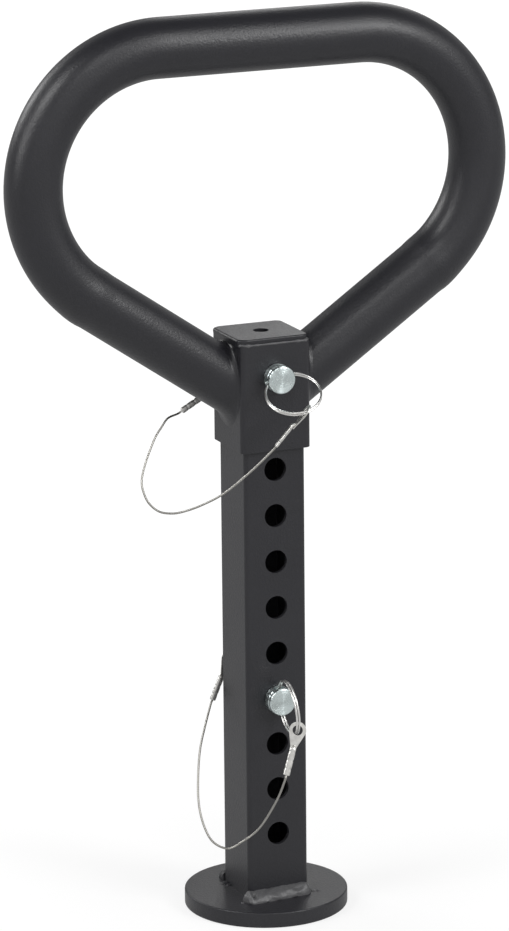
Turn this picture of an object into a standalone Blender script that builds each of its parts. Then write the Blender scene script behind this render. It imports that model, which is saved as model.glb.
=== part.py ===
"""Plate-loading kettlebell handle.

A square post stands on a round base disc. Weight plates drop over the post, and the lower pull pin
holds the stack. The bent tube grip is welded to a collar that caps the post, and the upper pull pin
locks it. Each pin has a split ring and a wire lanyard. Origin at the centre of the disc's underside,
+Z up, the pin heads face -Y. Lengths are in metres.
"""
import math

import bmesh
import bpy
from mathutils import Matrix, Vector

MM = 0.001

# Gap between pieces that touch on the real object
SEAT_GAP = 0.3 * MM

# Base disc
DISC_DIAMETER = 88.8 * MM
DISC_THICKNESS = 8.6 * MM
DISC_EDGE = 1.0 * MM
FOOT_SEAT_DEPTH = 0.6 * MM

# Post, a square tube with a row of holes through its front and back walls
POST_SIDE = 35.0 * MM
POST_WALL = 2.5 * MM
POST_CORNER = 2.5 * MM
HOLE_BORE = 12.6 * MM
HOLE_PITCH = 25.4 * MM
FIRST_HOLE_ABOVE_DISC = 35.7 * MM
LOWER_PIN_HOLE = 3
UPPER_PIN_HOLE = 10

# Collar over the post, closed by a cap plate
COLLAR_PLAY = 0.5 * MM
COLLAR_WALL = 2.0 * MM
COLLAR_CORNER = 3.0 * MM
COLLAR_ABOVE_PIN = 18.0 * MM
COLLAR_BELOW_PIN = 40.2 * MM
CAP_SIDE = 38.6 * MM
CAP_CORNER = 4.0 * MM
CAP_THICKNESS = 3.0 * MM
CAP_EDGE = 0.6 * MM
CAP_HOLE = 8.4 * MM

# Grip, one bent round tube whose legs run down to the collar's sides
GRIP_DIAMETER = 32.0 * MM
GRIP_WALL = 2.6 * MM
GRIP_BEND_RADIUS = 70.4 * MM
GRIP_TOP_STRAIGHT = 113.0 * MM
LEG_SLOPE = math.radians(34.4)
LEG_BELOW_COLLAR_TOP = 22.4 * MM
LEG_RUN_ON = 1.0 * MM
BEND_THINNING = 0.045
BEND_STEPS = 15
TUBE_SIDES = 26

# Weld beads
GRIP_BEAD = 3.0 * MM
GRIP_BEAD_STEPS = 28
FOOT_BEAD = 5.2 * MM
FOOT_BEAD_REACH = 7.0 * MM
FOOT_BEAD_OVERRUN = 3.0 * MM
FOOT_BEAD_STEPS = 22
FOOT_BEAD_END_SHARE = 0.4
BEAD_RIPPLE = 0.35 * MM

# Pull pins
SHANK_DIAMETER = 11.1 * MM
SHANK_PAST_COLLAR = 8.0 * MM
TIP_CHAMFER = 1.6 * MM
HEAD_DIAMETER = 15.0 * MM
HEAD_LENGTH = 8.0 * MM
HEAD_EDGE = 0.8 * MM
RING_HOLE = 5.4 * MM
BALL_DIAMETER = 4.0 * MM
BALL_PROUD = 0.55 * MM
BALL_FROM_TIP = 5.2 * MM
BALL_CLEARANCE = 0.25 * MM
SPRING_LENGTH = 4.6 * MM
SPRING_DIAMETER = 2.9 * MM
SPRING_WIRE = 0.4 * MM
SPRING_CURLS = 5
SPRING_CURL_POINTS = 9

# Split rings, two flat turns with a step between them
RING_RADIUS = 14.6 * MM
RING_WIRE = 0.9 * MM
RING_TURN_PITCH = 1.34 * MM
RING_TURN_POINTS = 24
RING_STEP_POINTS = 2

# Lanyards
CABLE_DIAMETER = 1.2 * MM
CABLE_POINT_SPACING = 3.4 * MM
CABLE_LEAD = 2.5 * MM
EYELET_DIAMETER = 9.2 * MM
EYELET_HOLE = 5.4 * MM
TAB_THICKNESS = 0.7 * MM
TAB_NECK = 3.4 * MM
TAB_ROOT_SHARE = 0.62
BARREL_START = 8.0 * MM
BARREL_END = 24.6 * MM
BARREL_WIDTH = 3.4 * MM
BARREL_HEIGHT = 2.6 * MM
BARREL_RISE = 1.1 * MM
BARREL_GROOVE = 0.22 * MM
BARREL_RIDGES = 3
SCREW_DIAMETER = 3.0 * MM
SCREW_HEAD = 7.4 * MM
SCREW_HEAD_HEIGHT = 1.9 * MM
SCREW_RECESS = 1.0 * MM
SCREW_RECESS_SHARE = 0.3
SCREW_HEAD_SHARES = ((0.36, 1.0), (0.62, 0.92), (0.88, 0.6), (1.0, 0.0))

# Each pin's place and the way its ring and lanyard lie. spin turns the ring hole about the pin,
# hang points from the hole to the ring's centre, link is the angle round the ring of the near
# eyelet, near_face the way its flat looks, and the routes are chosen by hand, in millimetres.
UPPER_RIG = {
    "spin": math.radians(13.0), "hang": (0.115, -0.863, -0.49), "shift": 1.5 * MM,
    "link": math.radians(-2.0), "near_way": (-0.491, 0.359, -0.794), "near_face": (-0.786, 0.211, 0.582),
    "eyelet_x": -15.4 * MM, "eyelet_below_pin": 11.9 * MM, "far_way": (-0.877, 0.0, -0.480),
    "route": [(-20.3, -33.7, 252.9), (-32.8, -25.7, 240.1), (-43.3, -18.9, 233.0),
              (-51.9, -13.3, 229.0), (-57.6, -9.8, 228.0), (-62.8, -6.5, 229.1),
              (-66.9, -2.9, 233.4), (-68.4, 0.7, 239.3), (-67.9, 3.4, 244.1),
              (-65.4, 6.4, 249.4), (-61.0, 10.2, 256.3), (-55.5, 14.1, 263.8),
              (-51.2, 16.3, 268.1), (-46.5, 18.3, 272.3)],
}
LOWER_RIG = {
    "spin": math.radians(96.0), "hang": (-0.07, -0.995, -0.06), "shift": 0.0,
    "link": math.radians(320.0), "near_way": (-0.33, -0.122, -0.936), "near_face": (-0.399, -0.881, 0.255),
    "eyelet_x": -12.6 * MM, "eyelet_below_pin": -14.2 * MM, "far_way": (-0.397, 0.0, -0.918),
    "route": [(-12.7, -44.6, 72.5), (-19.4, -36.9, 55.9), (-27.0, -30.6, 47.2),
              (-33.2, -25.9, 42.9), (-39.7, -20.8, 46.0), (-42.4, -15.0, 53.6),
              (-42.4, -8.2, 63.4), (-39.6, -0.6, 74.9), (-34.8, 7.7, 88.7),
              (-29.3, 13.4, 99.9)],
}

# Heights that follow from the sizes
FIRST_HOLE_Z = DISC_THICKNESS + FIRST_HOLE_ABOVE_DISC
LOWER_PIN_Z = FIRST_HOLE_Z + LOWER_PIN_HOLE * HOLE_PITCH
UPPER_PIN_Z = FIRST_HOLE_Z + UPPER_PIN_HOLE * HOLE_PITCH
COLLAR_TOP_Z = UPPER_PIN_Z + COLLAR_ABOVE_PIN
COLLAR_BOTTOM_Z = UPPER_PIN_Z - COLLAR_BELOW_PIN
POST_TOP_Z = COLLAR_TOP_Z
POST_FOOT_Z = DISC_THICKNESS - FOOT_SEAT_DEPTH + SEAT_GAP
COLLAR_SIDE = POST_SIDE + 2 * (COLLAR_PLAY + COLLAR_WALL)
SHANK_LENGTH = COLLAR_SIDE + SEAT_GAP + SHANK_PAST_COLLAR

# What a rounded edge leaves of its size at the middle of the rounding
ROUND_MIDDLE = 1 - math.sqrt(0.5)

parts = None
cutters = None


def clear_scene():
    """Remove every object, so that the script can run again."""
    for obj in list(bpy.data.objects):
        bpy.data.objects.remove(obj, do_unlink=True)


def make_collections():
    """One collection for the parts, and one for the cutters."""
    global parts, cutters
    parts = bpy.data.collections.new("kettlebell_handle")
    cutters = bpy.data.collections.new("cutters")
    for collection in (parts, cutters):
        bpy.context.scene.collection.children.link(collection)


def make_material(name, colour, roughness, metallic):
    """A plain finish: colour, roughness and metallic value."""
    material = bpy.data.materials.new(name)
    material.use_nodes = True
    shader = material.node_tree.nodes["Principled BSDF"]
    shader.inputs["Base Color"].default_value = (*colour, 1.0)
    shader.inputs["Roughness"].default_value = roughness
    shader.inputs["Metallic"].default_value = metallic
    return material


def add_object(name, data, finish=None, parent=None):
    """Put mesh or curve data into the parts collection, or among the cutters without a finish."""
    obj = bpy.data.objects.new(name, data)
    collection = cutters if finish is None else parts
    collection.objects.link(obj)
    if finish is None:
        obj.hide_render = True
        obj.display_type = "WIRE"
    else:
        data.materials.append(finish)
    obj.parent = parent
    return obj


def cut(target, cutter, operation="DIFFERENCE"):
    """Cut the target with the cutter, or join the cutter to it."""
    modifier = target.modifiers.new(cutter.name, "BOOLEAN")
    modifier.object = cutter
    modifier.operation = operation
    modifier.solver = "EXACT"


def shade(data, angle=35.0):
    """Smooth the round faces and keep the edges sharp."""
    data.shade_smooth()
    data.set_sharp_from_angle(angle=math.radians(angle))


def finish_bmesh(bm, name):
    """Turn a bmesh into mesh data."""
    bmesh.ops.recalc_face_normals(bm, faces=bm.faces[:])
    data = bpy.data.meshes.new(name)
    bm.to_mesh(data)
    bm.free()
    shade(data)
    return data


def square_bar(name, side, corner, bottom, top, edge=0.0):
    """A square bar with rounded upright corners, and a small bevel on its ends if edge is set."""
    bm = bmesh.new()
    bmesh.ops.create_cube(bm, size=1.0)
    bmesh.ops.scale(bm, vec=(side, side, top - bottom), verts=bm.verts)
    bmesh.ops.translate(bm, vec=(0, 0, (top + bottom) / 2), verts=bm.verts)
    if corner > 0:
        upright = [e for e in bm.edges if abs(e.verts[0].co.z - e.verts[1].co.z) > (top - bottom) / 2]
        bmesh.ops.bevel(bm, geom=upright, offset=corner, segments=4, profile=0.5, affect="EDGES")
    if edge > 0:
        rims = [e for e in bm.edges if abs(e.verts[0].co.z - e.verts[1].co.z) < (top - bottom) / 2]
        bmesh.ops.bevel(bm, geom=rims, offset=edge, segments=2, profile=0.5, affect="EDGES")
    return finish_bmesh(bm, name)


def rod(name, diameter, start, end, sides=32):
    """A round bar from one point to another."""
    start = Vector(start)
    end = Vector(end)
    bm = bmesh.new()
    turn = (end - start).to_track_quat("Z", "X").to_matrix().to_4x4()
    bmesh.ops.create_cone(bm, cap_ends=True, segments=sides, radius1=diameter / 2, radius2=diameter / 2,
                          depth=(end - start).length, matrix=Matrix.Translation((start + end) / 2) @ turn)
    return finish_bmesh(bm, name)


def turned(name, profile, steps=32):
    """A turned mesh about Z from (radius, height) points that run down its outer side."""
    bm = bmesh.new()
    verts = [bm.verts.new((radius, 0, height)) for radius, height in profile]
    for upper, lower in zip(verts, verts[1:]):
        bm.edges.new((upper, lower))
    data = bpy.data.meshes.new(name + "_profile")
    bm.to_mesh(data)
    bm.free()
    obj = bpy.data.objects.new(name + "_profile", data)
    cutters.objects.link(obj)
    screw = obj.modifiers.new("Screw", "SCREW")
    screw.steps = steps
    screw.render_steps = steps
    screw.use_merge_vertices = True
    screw.merge_threshold = 0.00001
    return applied(obj, name)


def applied(obj, name):
    """Mesh data of the evaluated object, with its caps welded. The object is removed."""
    graph = bpy.context.evaluated_depsgraph_get()
    data = bpy.data.meshes.new_from_object(obj.evaluated_get(graph))
    data.name = name
    data.transform(obj.matrix_world)
    bpy.data.objects.remove(obj, do_unlink=True)
    bm = bmesh.new()
    bm.from_mesh(data)
    bmesh.ops.remove_doubles(bm, verts=bm.verts, dist=0.000001)
    bm.to_mesh(data)
    bm.free()
    shade(data)
    return data


def tube(name, points, radius, resolution, closed=False, scale=None):
    """Mesh data of a round bar along points. scale gives each point's share of the radius."""
    curve = bpy.data.curves.new(name + "_path", "CURVE")
    curve.dimensions = "3D"
    curve.bevel_depth = radius
    curve.bevel_resolution = resolution
    curve.use_fill_caps = not closed
    spline = curve.splines.new("POLY")
    spline.points.add(len(points) - 1)
    spline.use_cyclic_u = closed
    for index, (place, point) in enumerate(zip(points, spline.points)):
        point.co = (*place, 1.0)
        point.radius = scale[index] if scale else 1.0
    obj = bpy.data.objects.new(name + "_path", curve)
    cutters.objects.link(obj)
    return applied(obj, name)


def smooth_route(points, spacing):
    """Points at an even spacing along a smooth curve through the given points."""
    places = [Vector(p) for p in points]
    places = [2 * places[0] - places[1]] + places + [2 * places[-1] - places[-2]]
    fine = []
    for p0, p1, p2, p3 in zip(places, places[1:], places[2:], places[3:]):
        for step in range(16):
            t = step / 16
            fine.append(0.5 * (2 * p1 + (p2 - p0) * t + (2 * p0 - 5 * p1 + 4 * p2 - p3) * t ** 2
                               + (3 * p1 - p0 - 3 * p2 + p3) * t ** 3))
    fine.append(places[-2])
    reach = [0.0]
    for here, there in zip(fine, fine[1:]):
        reach.append(reach[-1] + (there - here).length)
    count = max(2, round(reach[-1] / spacing))
    route = []
    index = 0
    for step in range(count + 1):
        want = reach[-1] * step / count
        while index < len(reach) - 2 and reach[index + 1] < want:
            index += 1
        share = (want - reach[index]) / (reach[index + 1] - reach[index])
        route.append(fine[index].lerp(fine[index + 1], share))
    return route, reach[-1]


def grip_path(radius):
    """Centre line of the grip from one collar side round to the other, in the plane y = 0.

    The legs run on inside the collar until a tube of this radius is past the side all round.
    """
    lengthen = radius * math.tan(LEG_SLOPE) + LEG_RUN_ON
    turn = math.pi - LEG_SLOPE
    half_top = GRIP_TOP_STRAIGHT / 2
    seat_x = COLLAR_SIDE / 2
    seat_z = COLLAR_TOP_Z - LEG_BELOW_COLLAR_TOP
    bend_end_x = half_top + GRIP_BEND_RADIUS * math.sin(turn)
    leg_rise = (bend_end_x - seat_x) * math.tan(LEG_SLOPE)
    top_z = seat_z + leg_rise + GRIP_BEND_RADIUS * (1 - math.cos(turn))
    leg_end = seat_x - lengthen * math.cos(LEG_SLOPE)
    right = []
    for step in range(BEND_STEPS + 1):
        angle = turn * step / BEND_STEPS
        right.append((half_top + GRIP_BEND_RADIUS * math.sin(angle),
                      top_z - GRIP_BEND_RADIUS * (1 - math.cos(angle))))
    right.append((leg_end, seat_z - (seat_x - leg_end) * math.tan(LEG_SLOPE)))
    path = [(-x, 0.0, z) for x, z in reversed(right)] + [(x, 0.0, z) for x, z in right]
    return [Vector(p) for p in path]


def grip_scale():
    """Share of the tube's diameter at each point of its centre line, a little thinner in the bends."""
    right = [1 - BEND_THINNING * math.sin(math.pi * step / BEND_STEPS) for step in range(BEND_STEPS + 1)]
    right.append(1.0)
    return right[::-1] + right


def make_disc(finish):
    """Round base plate with slightly rounded edges, and a shallow seat for the post and its welds."""
    radius = DISC_DIAMETER / 2
    middle = DISC_EDGE * ROUND_MIDDLE
    profile = [(0, DISC_THICKNESS), (radius - DISC_EDGE, DISC_THICKNESS),
               (radius - middle, DISC_THICKNESS - middle), (radius, DISC_THICKNESS - DISC_EDGE),
               (radius, DISC_EDGE), (radius - middle, middle), (radius - DISC_EDGE, 0), (0, 0)]
    disc = add_object("base_disc", turned("base_disc", profile, 60), finish)
    seat = square_bar("foot_seat", 1.0, 0, DISC_THICKNESS - FOOT_SEAT_DEPTH, 2 * DISC_THICKNESS)
    across = POST_SIDE + 2 * (FOOT_BEAD_OVERRUN + SEAT_GAP)
    along = POST_SIDE + 2 * (FOOT_BEAD_REACH + SEAT_GAP)
    seat.transform(Matrix.Diagonal((across, along, 1, 1)))
    cut(disc, add_object("foot_seat", seat))


def make_post(finish):
    """Square tube with its row of holes."""
    post = add_object("post_tube", square_bar("post_tube", POST_SIDE, POST_CORNER, POST_FOOT_Z, POST_TOP_Z),
                      finish)
    bore = square_bar("post_bore", POST_SIDE - 2 * POST_WALL, 0, POST_FOOT_Z - POST_WALL,
                      POST_TOP_Z + POST_WALL)
    cut(post, add_object("post_bore", bore))
    drills = bmesh.new()
    for hole in range(UPPER_PIN_HOLE + 1):
        height = FIRST_HOLE_Z + hole * HOLE_PITCH
        drills.from_mesh(rod("post_hole", HOLE_BORE, (0, -POST_SIDE, height), (0, POST_SIDE, height), 20))
    cut(post, add_object("post_holes", finish_bmesh(drills, "post_holes")))
    return post


def make_foot_welds(finish):
    """A rippled bead along the post's foot, in front and behind, run on past both corners."""
    face = POST_SIDE / 2
    length = POST_SIDE / 2 + FOOT_BEAD_OVERRUN
    for name, side in (("foot_weld_front", -1), ("foot_weld_back", 1)):
        points = []
        scale = []
        for step in range(FOOT_BEAD_STEPS + 1):
            share = 2 * step / FOOT_BEAD_STEPS - 1
            points.append((length * share, side * face, DISC_THICKNESS))
            taper = max(FOOT_BEAD_END_SHARE, math.sqrt(1 - share ** 6))
            scale.append(taper * (1 - (step % 2) * BEAD_RIPPLE / FOOT_BEAD))
        bead = add_object(name, tube(name, points, FOOT_BEAD, 5, scale=scale), finish)
        there = Matrix.Translation((0, side * face, 0))
        stretch = Matrix.Diagonal((1, FOOT_BEAD_REACH / FOOT_BEAD, 1, 1))
        bead.data.transform(there @ stretch @ there.inverted())
        under = square_bar(name + "_floor", DISC_DIAMETER, 0, -DISC_THICKNESS, POST_FOOT_Z)
        wall = square_bar(name + "_wall", POST_SIDE + 2 * SEAT_GAP, POST_CORNER, 0, POST_SIDE)
        cut(bead, add_object(name + "_floor", under))
        cut(bead, add_object(name + "_wall", wall))


def make_collar(finish):
    """Square tube that slides over the post, drilled for the pin and the lanyard screw."""
    collar = add_object("collar_tube", square_bar("collar_tube", COLLAR_SIDE, COLLAR_CORNER,
                                                  COLLAR_BOTTOM_Z, COLLAR_TOP_Z), finish)
    inside = COLLAR_SIDE - 2 * COLLAR_WALL
    bore = square_bar("collar_bore", inside, COLLAR_CORNER - COLLAR_WALL, COLLAR_BOTTOM_Z - COLLAR_WALL,
                      COLLAR_TOP_Z + COLLAR_WALL)
    cut(collar, add_object("collar_bore", bore))
    drill = rod("collar_hole", HOLE_BORE, (0, -COLLAR_SIDE, UPPER_PIN_Z), (0, COLLAR_SIDE, UPPER_PIN_Z), 32)
    cut(collar, add_object("collar_hole", drill))
    return collar


def make_cap(finish):
    """Plate that closes the collar's top, with a hole in its middle."""
    bottom = COLLAR_TOP_Z + SEAT_GAP
    cap = add_object("cap_plate", square_bar("cap_plate", CAP_SIDE, CAP_CORNER, bottom,
                                             bottom + CAP_THICKNESS, CAP_EDGE), finish)
    drill = rod("cap_hole", CAP_HOLE, (0, 0, COLLAR_TOP_Z), (0, 0, bottom + 2 * CAP_THICKNESS), 24)
    cut(cap, add_object("cap_hole", drill))


def make_grip(finish):
    """Bent round tube, open inside, its legs cut flat against the collar's sides."""
    radius = GRIP_DIAMETER / 2
    scale = grip_scale()
    outside = tube("grip_tube", grip_path(radius), radius, TUBE_SIDES // 2 - 2, scale=scale)
    grip = add_object("grip_tube", outside, finish)
    bore = tube("grip_bore", grip_path(radius - GRIP_WALL), radius - GRIP_WALL, 5, scale=scale)
    block = square_bar("grip_seat", COLLAR_SIDE + 2 * SEAT_GAP, 0, COLLAR_BOTTOM_Z - GRIP_DIAMETER,
                       COLLAR_TOP_Z + GRIP_DIAMETER)
    cut(grip, add_object("grip_bore", bore))
    cut(grip, add_object("grip_seat", block))


def make_grip_welds(finish):
    """A fillet bead round each leg where it meets the collar's side."""
    face = COLLAR_SIDE / 2
    seat_z = COLLAR_TOP_Z - LEG_BELOW_COLLAR_TOP
    radius = GRIP_DIAMETER / 2
    for name, side in (("grip_weld_left", -1), ("grip_weld_right", 1)):
        points = []
        for step in range(GRIP_BEAD_STEPS):
            angle = 2 * math.pi * step / GRIP_BEAD_STEPS
            points.append((side * face, radius * math.cos(angle),
                           seat_z + radius * math.sin(angle) / math.cos(LEG_SLOPE)))
        bead = add_object(name, tube(name, points, GRIP_BEAD, 3, closed=True), finish)
        path = grip_path(radius)
        leg = path[:2] if side < 0 else path[-2:]
        core = tube(name + "_leg", leg, radius + SEAT_GAP, TUBE_SIDES // 2 - 2)
        wall = square_bar(name + "_wall", COLLAR_SIDE + 2 * SEAT_GAP, COLLAR_CORNER,
                          COLLAR_BOTTOM_Z - radius, COLLAR_TOP_Z + radius)
        roof = square_bar(name + "_roof", 2 * COLLAR_SIDE, 0, COLLAR_TOP_Z, COLLAR_TOP_Z + 2 * radius)
        cut(bead, add_object(name + "_leg", core))
        cut(bead, add_object(name + "_wall", wall))
        cut(bead, add_object(name + "_roof", roof))


def ring_points():
    """Two flat turns about Z joined by one step, the split ring's wire."""
    points = []
    for step in range(2 * RING_TURN_POINTS - RING_STEP_POINTS):
        angle = 2 * math.pi * step / RING_TURN_POINTS
        share = (step - RING_TURN_POINTS) / RING_STEP_POINTS + 1
        share = min(max(share, 0.0), 1.0)
        rise = share * share * (3 - 2 * share)
        points.append((RING_RADIUS * math.cos(angle), RING_RADIUS * math.sin(angle),
                       RING_TURN_PITCH * (rise - 0.5)))
    return points


def spring_points():
    """A compression spring about Z, its curls evenly spaced."""
    radius = (SPRING_DIAMETER - SPRING_WIRE) / 2
    height = SPRING_LENGTH - SPRING_WIRE
    count = SPRING_CURLS * SPRING_CURL_POINTS
    points = []
    for step in range(count + 1):
        angle = 2 * math.pi * step / SPRING_CURL_POINTS
        points.append((radius * math.cos(angle), radius * math.sin(angle), height * (step / count - 0.5)))
    return points


def report_gap(name, points, wire, skip):
    """Print the least gap of a wound wire to itself, measured on its points."""
    places = [Vector(p) for p in points]
    least = min((a - b).length for i, a in enumerate(places) for b in places[i + skip:])
    print("%s least gap to itself %.2f mm" % (name, (least - wire) / MM))


def terminal_mesh():
    """Stamped cable end along +X from the eyelet's centre: eyelet, flat tab and crimped barrel.

    The barrel is rolled up from the tab, so it stands to the tab's +Z side.
    """
    half = TAB_THICKNESS / 2
    ring = rod("terminal", EYELET_DIAMETER, (0, 0, -half), (0, 0, half), 28)
    body = bpy.data.objects.new("terminal_body", ring)
    cutters.objects.link(body)
    bm = bmesh.new()
    bmesh.ops.create_cube(bm, size=1.0)
    length = BARREL_START + BARREL_WIDTH
    bmesh.ops.scale(bm, vec=(length, TAB_NECK, TAB_THICKNESS), verts=bm.verts)
    bmesh.ops.translate(bm, vec=(length / 2, 0, 0), verts=bm.verts)
    for vert in bm.verts:
        if vert.co.x < length / 2:
            vert.co.y *= EYELET_DIAMETER / TAB_NECK * TAB_ROOT_SHARE
    neck = add_object("terminal_neck", finish_bmesh(bm, "terminal_neck"))
    profile = [(0, BARREL_END)]
    stations = 2 * BARREL_RIDGES + 1
    for step in range(stations):
        share = step / (stations - 1)
        height = BARREL_END - (BARREL_END - BARREL_START) * share
        dent = BARREL_GROOVE if step % 2 == 0 else 0.0
        profile.append((BARREL_WIDTH / 2 - dent, height))
    profile.append((0, BARREL_START))
    barrel_data = turned("terminal_barrel", profile, 12)
    barrel_data.transform(Matrix.Diagonal((BARREL_HEIGHT / BARREL_WIDTH, 1, 1, 1)))
    barrel_data.transform(Matrix.Rotation(math.radians(90), 4, "Y"))
    barrel_data.transform(Matrix.Translation((0, 0, BARREL_RISE)))
    barrel = add_object("terminal_barrel", barrel_data)
    hole = add_object("terminal_hole", rod("terminal_hole", EYELET_HOLE, (0, 0, -TAB_THICKNESS),
                                           (0, 0, TAB_THICKNESS), 24))
    cut(body, neck, "UNION")
    cut(body, hole)
    cut(body, barrel, "UNION")
    data = applied(body, "terminal")
    for cutter in (neck, barrel, hole):
        bpy.data.objects.remove(cutter, do_unlink=True)
    return data


def frame(origin, along, across):
    """Matrix whose X runs along a direction and whose Z is near another, at a place."""
    x_axis = Vector(along).normalized()
    z_axis = Vector(across)
    z_axis = (z_axis - z_axis.dot(x_axis) * x_axis).normalized()
    y_axis = z_axis.cross(x_axis)
    basis = Matrix((x_axis, y_axis, z_axis)).transposed().to_4x4()
    return Matrix.Translation(origin) @ basis


def make_pin(name, face, height, finish, rig):
    """A pull pin on its seat, with the pocket for its ball and the hole for its ring."""
    seat = bpy.data.objects.new(name + "_seat", None)
    parts.objects.link(seat)
    seat.location = (0, -face, height)
    seat.rotation_euler = (math.radians(90), 0, 0)
    shank = SHANK_DIAMETER / 2
    head = HEAD_DIAMETER / 2
    tip = -SHANK_LENGTH
    outer = SEAT_GAP + HEAD_LENGTH
    middle = HEAD_EDGE * ROUND_MIDDLE
    profile = [(0, outer), (head - HEAD_EDGE, outer), (head - middle, outer - middle),
               (head, outer - HEAD_EDGE), (head, SEAT_GAP), (shank, SEAT_GAP), (shank, tip + TIP_CHAMFER),
               (shank - TIP_CHAMFER, tip), (0, tip)]
    pin = add_object(name, turned(name, profile, 32), finish, seat)
    ball_z = tip + BALL_FROM_TIP
    ball_radius = BALL_DIAMETER / 2
    ball_y = -(shank + BALL_PROUD - ball_radius)
    pocket_radius = ball_radius + BALL_CLEARANCE
    spring_top = ball_y + ball_radius + SEAT_GAP + SPRING_LENGTH
    shoulder = ball_y - BALL_CLEARANCE
    pocket = [(pocket_radius, -shoulder), (pocket_radius, -(spring_top + SEAT_GAP))]
    lip_radius = ball_radius * math.cos(math.asin((ball_radius - BALL_PROUD) / ball_radius)) + BALL_CLEARANCE
    run_out = BALL_PROUD
    profile = [(0, shank + run_out), (lip_radius, shank + run_out), (lip_radius, shank)] + pocket
    profile.append((0, -(spring_top + SEAT_GAP)))
    drill = add_object(name + "_pocket", turned(name + "_pocket", profile, 20), None, seat)
    drill.location = (0, 0, ball_z)
    drill.rotation_euler = (math.radians(90), 0, 0)
    hole_way = Vector((math.cos(rig["spin"]), math.sin(rig["spin"]), 0))
    hole_z = SEAT_GAP + HEAD_LENGTH / 2
    hole = rod(name + "_ring_hole", RING_HOLE, hole_way * -HEAD_DIAMETER, hole_way * HEAD_DIAMETER, 24)
    hole.transform(Matrix.Translation((0, 0, hole_z)))
    cut(pin, drill)
    cut(pin, add_object(name + "_ring_hole", hole, None, seat))
    return seat, ball_y, ball_z


def make_pin_set(name, face, height, finishes, rig, terminal):
    """Pin, ball, spring, split ring and lanyard of one pin."""
    seat, ball_y, ball_z = make_pin(name + "_pin", face, height, finishes["steel"], rig)
    bm = bmesh.new()
    bmesh.ops.create_uvsphere(bm, u_segments=16, v_segments=10, radius=BALL_DIAMETER / 2)
    ball = add_object(name + "_ball", finish_bmesh(bm, name + "_ball"), finishes["ball"], seat)
    ball.location = (0, ball_y, ball_z)
    spring_data = tube(name + "_ball_spring", spring_points(), SPRING_WIRE / 2, 1)
    report_gap(name + "_ball_spring", spring_points(), SPRING_WIRE, SPRING_CURL_POINTS - 2)
    spring = add_object(name + "_ball_spring", spring_data, finishes["spring"], seat)
    spring.location = (0, ball_y + BALL_DIAMETER / 2 + SEAT_GAP + SPRING_LENGTH / 2, ball_z)
    spring.rotation_euler = (math.radians(90), 0, 0)

    hole_centre = Vector((0, -face - SEAT_GAP - HEAD_LENGTH / 2, height))
    hole_way = Vector((math.cos(rig["spin"]), 0, math.sin(rig["spin"])))
    hang = Vector(rig["hang"])
    hang = (hang - hang.dot(hole_way) * hole_way).normalized()
    bow = RING_RADIUS - math.sqrt(RING_RADIUS ** 2 - (HEAD_DIAMETER / 2 + rig["shift"]) ** 2)
    centre = hole_centre + hang * (RING_RADIUS - bow / 2) + hole_way * rig["shift"]
    report_gap(name + "_ring", ring_points(), RING_WIRE, RING_TURN_POINTS // 2)
    ring = add_object(name + "_ring", tube(name + "_ring", ring_points(), RING_WIRE / 2, 1),
                      finishes["ring"])
    ring.matrix_world = frame(centre, hang, hole_way.cross(hang))

    link = centre + RING_RADIUS * (math.cos(rig["link"]) * hang + math.sin(rig["link"]) * hole_way)
    near_way = Vector(rig["near_way"]).normalized()
    near = add_object(name + "_near_terminal", terminal.copy(), finishes["zinc"])
    near.matrix_world = frame(link, near_way, rig["near_face"])

    far_way = Vector(rig["far_way"]).normalized()
    eyelet = Vector((rig["eyelet_x"], face + SEAT_GAP + TAB_THICKNESS / 2,
                     height - rig["eyelet_below_pin"]))
    far = add_object(name + "_far_terminal", terminal.copy(), finishes["zinc"])
    far.matrix_world = frame(eyelet, far_way, (0, 1, 0))

    barrel_mouth = Vector((BARREL_END + SEAT_GAP, 0, BARREL_RISE))
    start = near.matrix_world @ barrel_mouth
    end = far.matrix_world @ barrel_mouth
    route = [start, start + near_way * CABLE_LEAD]
    route += [Vector(p) * MM for p in rig["route"]]
    route += [end + far_way * CABLE_LEAD, end]
    points, length = smooth_route(route, CABLE_POINT_SPACING)
    add_object(name + "_cable", tube(name + "_cable", points, CABLE_DIAMETER / 2, 2), finishes["cable"])
    print("%s cable %.1f mm long, start %s, end %s" % (name, length / MM, tuple(start), tuple(end)))
    print("%s ring centre %s axis %s" % (name, tuple(centre), tuple(hole_way.cross(hang))))
    return eyelet


def make_lanyard_screw(name, eyelet, carrier, wall, finish):
    """Pan head screw through the far eyelet into the carrier's back wall."""
    seat_y = eyelet.y + TAB_THICKNESS / 2 + SEAT_GAP
    inner_y = eyelet.y - TAB_THICKNESS / 2 - SEAT_GAP - wall
    head = SCREW_HEAD / 2
    shank = SCREW_DIAMETER / 2
    recess = SCREW_HEAD_HEIGHT - SCREW_RECESS
    length = seat_y - inner_y
    profile = [(0, recess), (head * SCREW_RECESS_SHARE, recess)]
    profile += [(head * across, SCREW_HEAD_HEIGHT * up) for across, up in SCREW_HEAD_SHARES]
    profile += [(shank, 0), (shank, -length), (0, -length)]
    screw = add_object(name, turned(name, profile, 20), finish)
    screw.location = (eyelet.x, seat_y, eyelet.z)
    screw.rotation_euler = (math.radians(-90), 0, 0)
    drill = rod(name + "_hole", SCREW_DIAMETER + 2 * SEAT_GAP, (eyelet.x, inner_y - wall, eyelet.z),
                (eyelet.x, eyelet.y, eyelet.z), 20)
    cut(carrier, add_object(name + "_hole", drill))


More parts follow.
